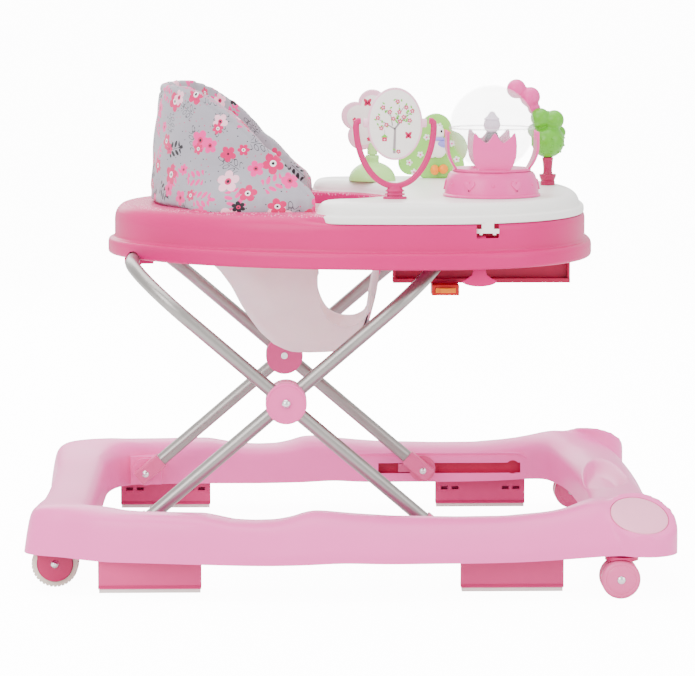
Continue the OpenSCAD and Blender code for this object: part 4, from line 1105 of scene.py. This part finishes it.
# ---------------------------------------------------------------------------------------------------
# Flower spinner: a pale pink five-petalled plate on a green stem that turns in a domed green base.
# ---------------------------------------------------------------------------------------------------
green = moulded("toy_green_plastic", srgb(170, 226, 128), 0.3, 0.2)
dome = [(29.5 * cos(v), 0.1 + 23.5 * sin(v)) for v in np.linspace(0, 1.25, 16)]
base_profile = [(0, 0.1), (29.5, 0.1)] + dome[1:] + [(8.6, 23), (8.2, 26), (8.6, 27), (8.6, 30.5),
                                                     (8.0, 31.6), (3.1, 32), (3.1, 8), (0, 8)]
add_piece("flower_stand", [moved(turned(base_profile), (37, 150, 442))], green, "activity_tray",
          ["flower_base"])
spinner_line = petal_line(40, 5, (0, 0), 0.26, pi / 2, 160)
inner_line = petal_line(33, 5, (0, 0), 0.26, pi / 2, 160)
flower_at = (37, 150, 516)
stem_part = moved(turned([(0, -65), (3, -65), (3, -41.8), (6.4, -41.6), (6.4, -30), (5.6, -27),
                          (0, -27)], 40), flower_at)
add_piece("flower_plate", [moved(plate(spinner_line, -4, 4, 2.6, steps=6), flower_at)], disc_pink,
          "flower", ["flower_spinner"])
add_piece("flower_stem", [stem_part], green, "flower")
add_piece("flower_card", [moved(plate(inner_line, -4.4, 4.4, 0.4, steps=2), flower_at)], face_card,
          "flower")
spots = [leaf_line((-6 + dx, 24 + dz), 6, 4, s) for dx, dz,
         s in ((-2.6, 2, 2.2), (2.6, 2, 0.9), (-2, -2.2, 4.0), (2, -2.2, 5.4))]
spots += [petal_line(3.2, 5, c, 0.4, 0.3, 40) for c in ((-4, -22), (18, 8), (-22, 2), (12, -14))]
add_piece("flower_print", [moved(p, flower_at) for p in ink(spots, -4.4) + ink(spots, 4.4)], pink_ink,
          "flower")

# ---------------------------------------------------------------------------------------------------
# Globe: a clear ball with a moulded equator and ribs, tulip plates round it that turn with it, a small
# doll inside, on a flared pink base with raised hearts and dots.
# ---------------------------------------------------------------------------------------------------
toy_pink = moulded("toy_pink_plastic", srgb(230, 70, 152), 0.28, 0.25)
globe_x, globe_y, globe_z = 169.0, -120.0, 522.0
globe_profile = [(0, 0.2), (56.2, 0.2), (57.3, 0.7), (57.4, 2.2), (56.2, 3.3), (55.4, 3.6), (55.3, 5),
                 (54.6, 12), (53, 20), (50.6, 26), (48.4, 28.6),
                 (46, 29.4), (43, 28.9), (42.4, 27.6), (14.6, 27.2), (14.6, 4), (0, 4)]
stand = [moved(turned(globe_profile, 120), (globe_x, globe_y, 442))]
heart_t = np.arange(60) * 2 * pi / 60
heart = np.stack([16 * np.sin(heart_t) ** 3, 13 * np.cos(heart_t) - 5 * np.cos(2 * heart_t) - 2
                  * np.cos(3 * heart_t) - np.cos(4 * heart_t)], 1)[::-1]
for bearing_deg in range(0, 360, 30):
    if (bearing_deg // 30) % 2 == 0:
        badge = plate(heart * 0.44, -1.3, 1.3, 1.1)
    else:
        badge = plate(petal_line(1.9, 4, (0, 0), 0.0, 0, 24), -1.2, 1.2, 1.0)
    badge = moved(badge, (0, -54.0, 15), (-12, 0, 0))
    stand.append(moved(moved(badge, (0, 0, 0), (0, 0, bearing_deg + 28)), (globe_x, globe_y, 442)))
add_piece("globe_stand", stand, toy_pink, "activity_tray", ["globe_base"])

clear, shader, where = begin("clear_plastic")
haze = where.node("TexNoise", sockets={"Vector": where, "Scale": 60.0, "Detail": 2.0})
height_of = where.node("SeparateXYZ", sockets={0: where}, output=2)
seam_line = 1 - (height_of - 0.522).maths("ABSOLUTE").between(0.0007, 0.0013)
shader.inputs["Specular IOR Level"].default_value = 1.0
shader.inputs["Coat Weight"].default_value = 1.0
shader.inputs["Coat Roughness"].default_value = 0.02
feed(shader, Base_Color=haze.blend((0.86, 0.87, 0.88, 1), (0.96, 0.96, 0.97, 1)),
     Roughness=0.02 + haze * 0.03,
     Alpha=0.1 + haze * 0.08 + seam_line * 0.3)
t = np.linspace(-1.166, pi / 2, 60)
ball = [(50 * cos(v) + 0.7 * np.exp(-(v / 0.02) ** 2), 50 * sin(v)) for v in t] + [(48.4 * cos(v),
        48.4 * sin(v)) for v in t[::-1]]
ball[59] = (0, 50)
ball[60] = (0, 48.4)
ball_points, ball_faces = turned(ball, 120)
around_ball = np.arctan2(ball_points[:, 1], ball_points[:, 0])
rib = np.exp(-((np.mod(around_ball * 6 / (2 * pi) + 0.25,
                       1) - 0.5) / 0.035) ** 2) * (np.abs(ball_points[:,
                               2]) < 34) * (np.linalg.norm(ball_points, axis=1) > 49)
rib *= step(34 - np.abs(ball_points[:, 2]), 0, 6)
ball_points = ball_points * (1 + 0.014 * rib[:, None] / 1.0)
ball_faces = ball_faces + [(119 * 120 + i, 119 * 120 + (i + 1) % 120, (i + 1) % 120,
                            i) for i in range(120)]
add_piece("globe_ball", [moved((ball_points, ball_faces), (globe_x, globe_y, globe_z))], clear, "globe",
          ["globe_shell"])

tulip = np.array([[-7, 0], [7, 0], [15, 1.5], [21.5, 8], [24.5, 17], [25.5, 27], [25.2, 37],
                  [23.2, 46.5], [18.5, 42], [13.5, 37.2], [9.5, 35.4],
                  [5.5, 39], [0, 46], [-5.5, 39], [-9.5, 35.4], [-13.5, 37.2], [-18.5, 42],
                  [-23.2, 46.5], [-25.2, 37], [-25.5, 27], [-24.5, 17],
                  [-21.5, 8], [-15, 1.5]], float)
tulip = smooth_loop(tulip, 6)


def sliced(patch, heights):
    """The patch in triangles, cut across at each height, so that it can bend there."""
    work = bmesh.new()
    corners = [work.verts.new(p) for p in patch[0]]
    for face in patch[1]:
        work.faces.new([corners[i] for i in face])
    bmesh.ops.triangulate(work, faces=work.faces)
    for z in heights:
        bmesh.ops.bisect_plane(work, geom=work.verts[:] + work.edges[:] + work.faces[:],
                               plane_co=(0, 0, z), plane_no=(0, 0, 1),
                               dist=1e-5)
    work.verts.index_update()
    cut = np.array([v.co for v in work.verts]), [tuple(v.index for v in f.verts) for f in work.faces]
    work.free()
    return cut


flat_points, flat_faces = sliced(plate(tulip, -54, -50.9, 0.5, steps=4), range(3, 45, 3))
# Each plate leans back at its foot to follow the ball: y moves in by 12 * (1 - z / 30) ** 2 below z = 30.
flat_points = flat_points + np.stack([0, 1, 0] * np.ones((len(flat_points), 1)),
                                     0) * (12 * np.clip(1 - flat_points[:, 2:] / 30, 0, 1) ** 2)
cups = [moved((flat_points, flat_faces), (0, 0, 0), (0, 0, 90 * quarter)) for quarter in range(4)]
cups.append(turned([(14, 0), (45.6, 0), (46, 0.6), (46, 2.6), (45.4, 3.2), (14, 3.2), (14, -23.8),
                    (12, -23.8), (12, 0), (14, 0)], 96))
add_piece("tulip_plates", [moved(c, (globe_x, globe_y, 471.8)) for c in cups], toy_pink, "globe",
          ["globe_cups"])

dark = moulded("doll_plastic", srgb(40, 34, 46), 0.25, 0.4)
lilac = moulded("doll_head_plastic", srgb(228, 208, 230), 0.3, 0.2)
doll = turned([(0, 4), (5, 4), (5, 46), (8, 48), (9.6, 52), (9.8, 60), (8.6, 68), (6.4, 74), (4, 76.5),
               (0, 77)], 48)
head = turned([(0, 73), (4, 74), (8, 77), (10, 82), (9.4, 87), (6.5, 91), (3, 92.6), (0, 93)], 48)
hat = turned([(0, 89), (8.4, 89.2), (9.6, 90), (8, 91.5), (5.2, 94), (3, 98), (0, 99.5)], 40)
add_piece("doll_body", [moved(doll, (globe_x, globe_y, 442))], dark, "activity_tray",
          ["globe_figure"])
add_piece("doll_head", [moved(head, (globe_x, globe_y, 442)), moved(hat, (globe_x, globe_y, 442))],
          lilac, "activity_tray")

# ---------------------------------------------------------------------------------------------------
# Garden: a green bush panel with white daisies, a small white bird on it, and a potted tree with a
# crown of round green lobes under a pink blossom.
# ---------------------------------------------------------------------------------------------------
bush_discs = np.array([[4, 62, 20], [-28, 20, 16], [22, 38, 22], [-8, 40, 22], [0, 18, 22],
                       [22, 16, 18]], float)
ray = np.arange(200) * 2 * pi / 200
bush_middle = np.array([0.0, 26.0])
ray_x, ray_z = np.cos(ray), np.sin(ray)
offset = bush_discs[:, :2] - bush_middle
along_ray = offset[:, :1] * ray_x + offset[:, 1:] * ray_z
miss = np.sum(offset ** 2, 1)[:, None] - along_ray ** 2
hit = np.where(miss < bush_discs[:, 2:] ** 2, along_ray + np.sqrt(np.maximum(bush_discs[:,
        2:] ** 2 - miss, 0)), 0).max(0)
bush_line = bush_middle + np.stack([hit * ray_x, hit * ray_z], 1)
bush_line[:, 1] = np.maximum(bush_line[:, 1], 0.1)
for _ in range(2):
    bush_line = (np.roll(bush_line, 1, 0) + 2 * bush_line + np.roll(bush_line, -1, 0)) / 4
bush_at = (115, 190, 442)
bush_green = moulded("bush_green_plastic", srgb(146, 216, 96), 0.3, 0.2)
add_piece("bush", [moved(plate(bush_line, -5, 5, 2.6, steps=6), bush_at)], bush_green, "activity_tray",
          ["bush_panel"])
daisies = [(-30, 20), (-16, 30), (24, 44), (30, 24), (-24, 8), (8, 66), (14, 12), (-8, 52)]
daisy = [plate(petal_line(4.4, 5, d, 0.45, i, 50), -5.9, 5.9, 0.6, steps=2) for i,
         d in enumerate(daisies)]
add_piece("daisies", [moved(p, bush_at) for p in daisy], white, "activity_tray")
add_piece("daisy_hearts", [moved(plate(petal_line(1.3, 4, d, 0.0, 0, 16), -6.3, 6.3, 0.4, steps=2),
                                 bush_at) for d in daisies], toy_pink,
          "activity_tray")


def ball_patch(centre, radii, sides=40):
    v = np.linspace(-pi / 2, pi / 2, 22)
    points, faces = turned(np.stack([np.cos(v), np.sin(v)], 1), sides)
    return points * np.array(radii) + np.array(centre), faces


bird_parts = [ball_patch((0, 0, 2), (10.5, 8.5, 14)), ball_patch((-1, 0, 20), (8.6, 8, 8.8)),
              ball_patch((-9, 1, -8), (6, 3, 4))]
add_piece("bird_body", [moved(p, (122, 180, 480)) for p in bird_parts], white, "activity_tray",
          ["bird"])
bird_trim = [moved(turned([(0, 0), (4.4, 0), (3.6, 3), (1.6, 7.5), (0, 9)], 24), (7, 0, 20),
                   (0, 90, 0)), ball_patch((-5, -1, -27), (5.5, 5, 6.5)),
             ball_patch((6, -1, -26), (6, 5, 6))]
add_piece("bird_trim", [moved(p, (122, 180, 480)) for p in bird_trim], amber, "activity_tray")
lilac_wing = moulded("wing_plastic", srgb(150, 138, 226), 0.3, 0.2)
wing = [ball_patch((6, -7.2, 6), (8, 2.6, 4.5)), ball_patch((0, -3, 12), (8.6, 6.6, 2.6))]
add_piece("bird_wing", [moved(p, (122, 180, 480)) for p in wing], lilac_wing, "activity_tray")
eyes = [ball_patch((2.6 + 0.4, -6.9, 22), (1.3, 1.0, 1.8), 16),
        ball_patch((3.0, 6.9, 22), (1.3, 1.0, 1.8), 16)]
add_piece("bird_eyes", [moved(p, (122, 180, 480)) for p in eyes], dark, "activity_tray")

pot_pink = moulded("pot_plastic", srgb(164, 20, 76), 0.34, 0.15)
trunk_profile = [(0, 0.1), (8.6, 0.1), (9, 0.6), (9, 4.6), (8.2, 5.4), (8.6, 6), (10.4, 11), (10.6, 13),
                 (10, 13.6), (6.2, 13.6), (5.4, 16), (5.2, 20),
                 (5.8, 27), (7, 33.9), (0, 33.9)]
trunk_points, trunk_faces = turned(trunk_profile, 96)
flute = 1 + 0.05 * np.cos(8 * np.arctan2(trunk_points[:, 1], trunk_points[:, 0])) * (trunk_points[:,
        2] > 13.7) * (trunk_points[:, 2] < 33)
trunk_points[:, :2] *= flute[:, None]
add_piece("tree_pot_and_trunk", [moved((trunk_points, trunk_faces), (250, 60, 442))], pot_pink,
          "activity_tray", ["tree_trunk"])


def fused(name, balls, place, material, replaced):
    """Balls melted into one lobed shape."""
    piece = add_piece(name, [moved(ball_patch(b[:3], (b[3],) * 3), place) for b in balls], material,
                      turn_out=False)
    melt = piece.modifiers.new("melt", "REMESH")
    melt.mode, melt.voxel_size = "VOXEL", 0.0011
    ease = piece.modifiers.new("ease", "SMOOTH")
    ease.factor, ease.iterations = 0.5, 10
    applied(piece)
    piece.data.shade_smooth()
    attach(piece, "activity_tray")
    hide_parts(replaced)
    return piece


leaf_green = moulded("tree_green_plastic", srgb(92, 172, 36), 0.28, 0.25)
fused("tree_lobes", [(0, 0, 0, 20.5), (-10, -6, 29, 12), (7, -4, 26, 12.5), (0, 12, 26, 11),
                     (-16, 4, 13, 9), (14, 10, 10, 9)],
      (250, 60, 496), leaf_green, "tree_crown")
fused("blossom_lobes", [(-13, 0, 9, 12), (4, 0, -1, 12.5), (9, 0, -15, 8)], (224, 62, 551), toy_pink,
      "blossom")
nub = np.array([(20.2 * cos(e) * cos(b), 20.2 * cos(e) * sin(b), 20.2 * sin(e)) for e in (-0.7, -0.25,
        0.2) for b in np.arange(0, 2 * pi, 0.7)])
add_piece("tree_nubs", [moved(ball_patch(n, (1.6, 1.6, 1.6), 12), (250, 60, 496)) for n in nub],
          leaf_green, "activity_tray")
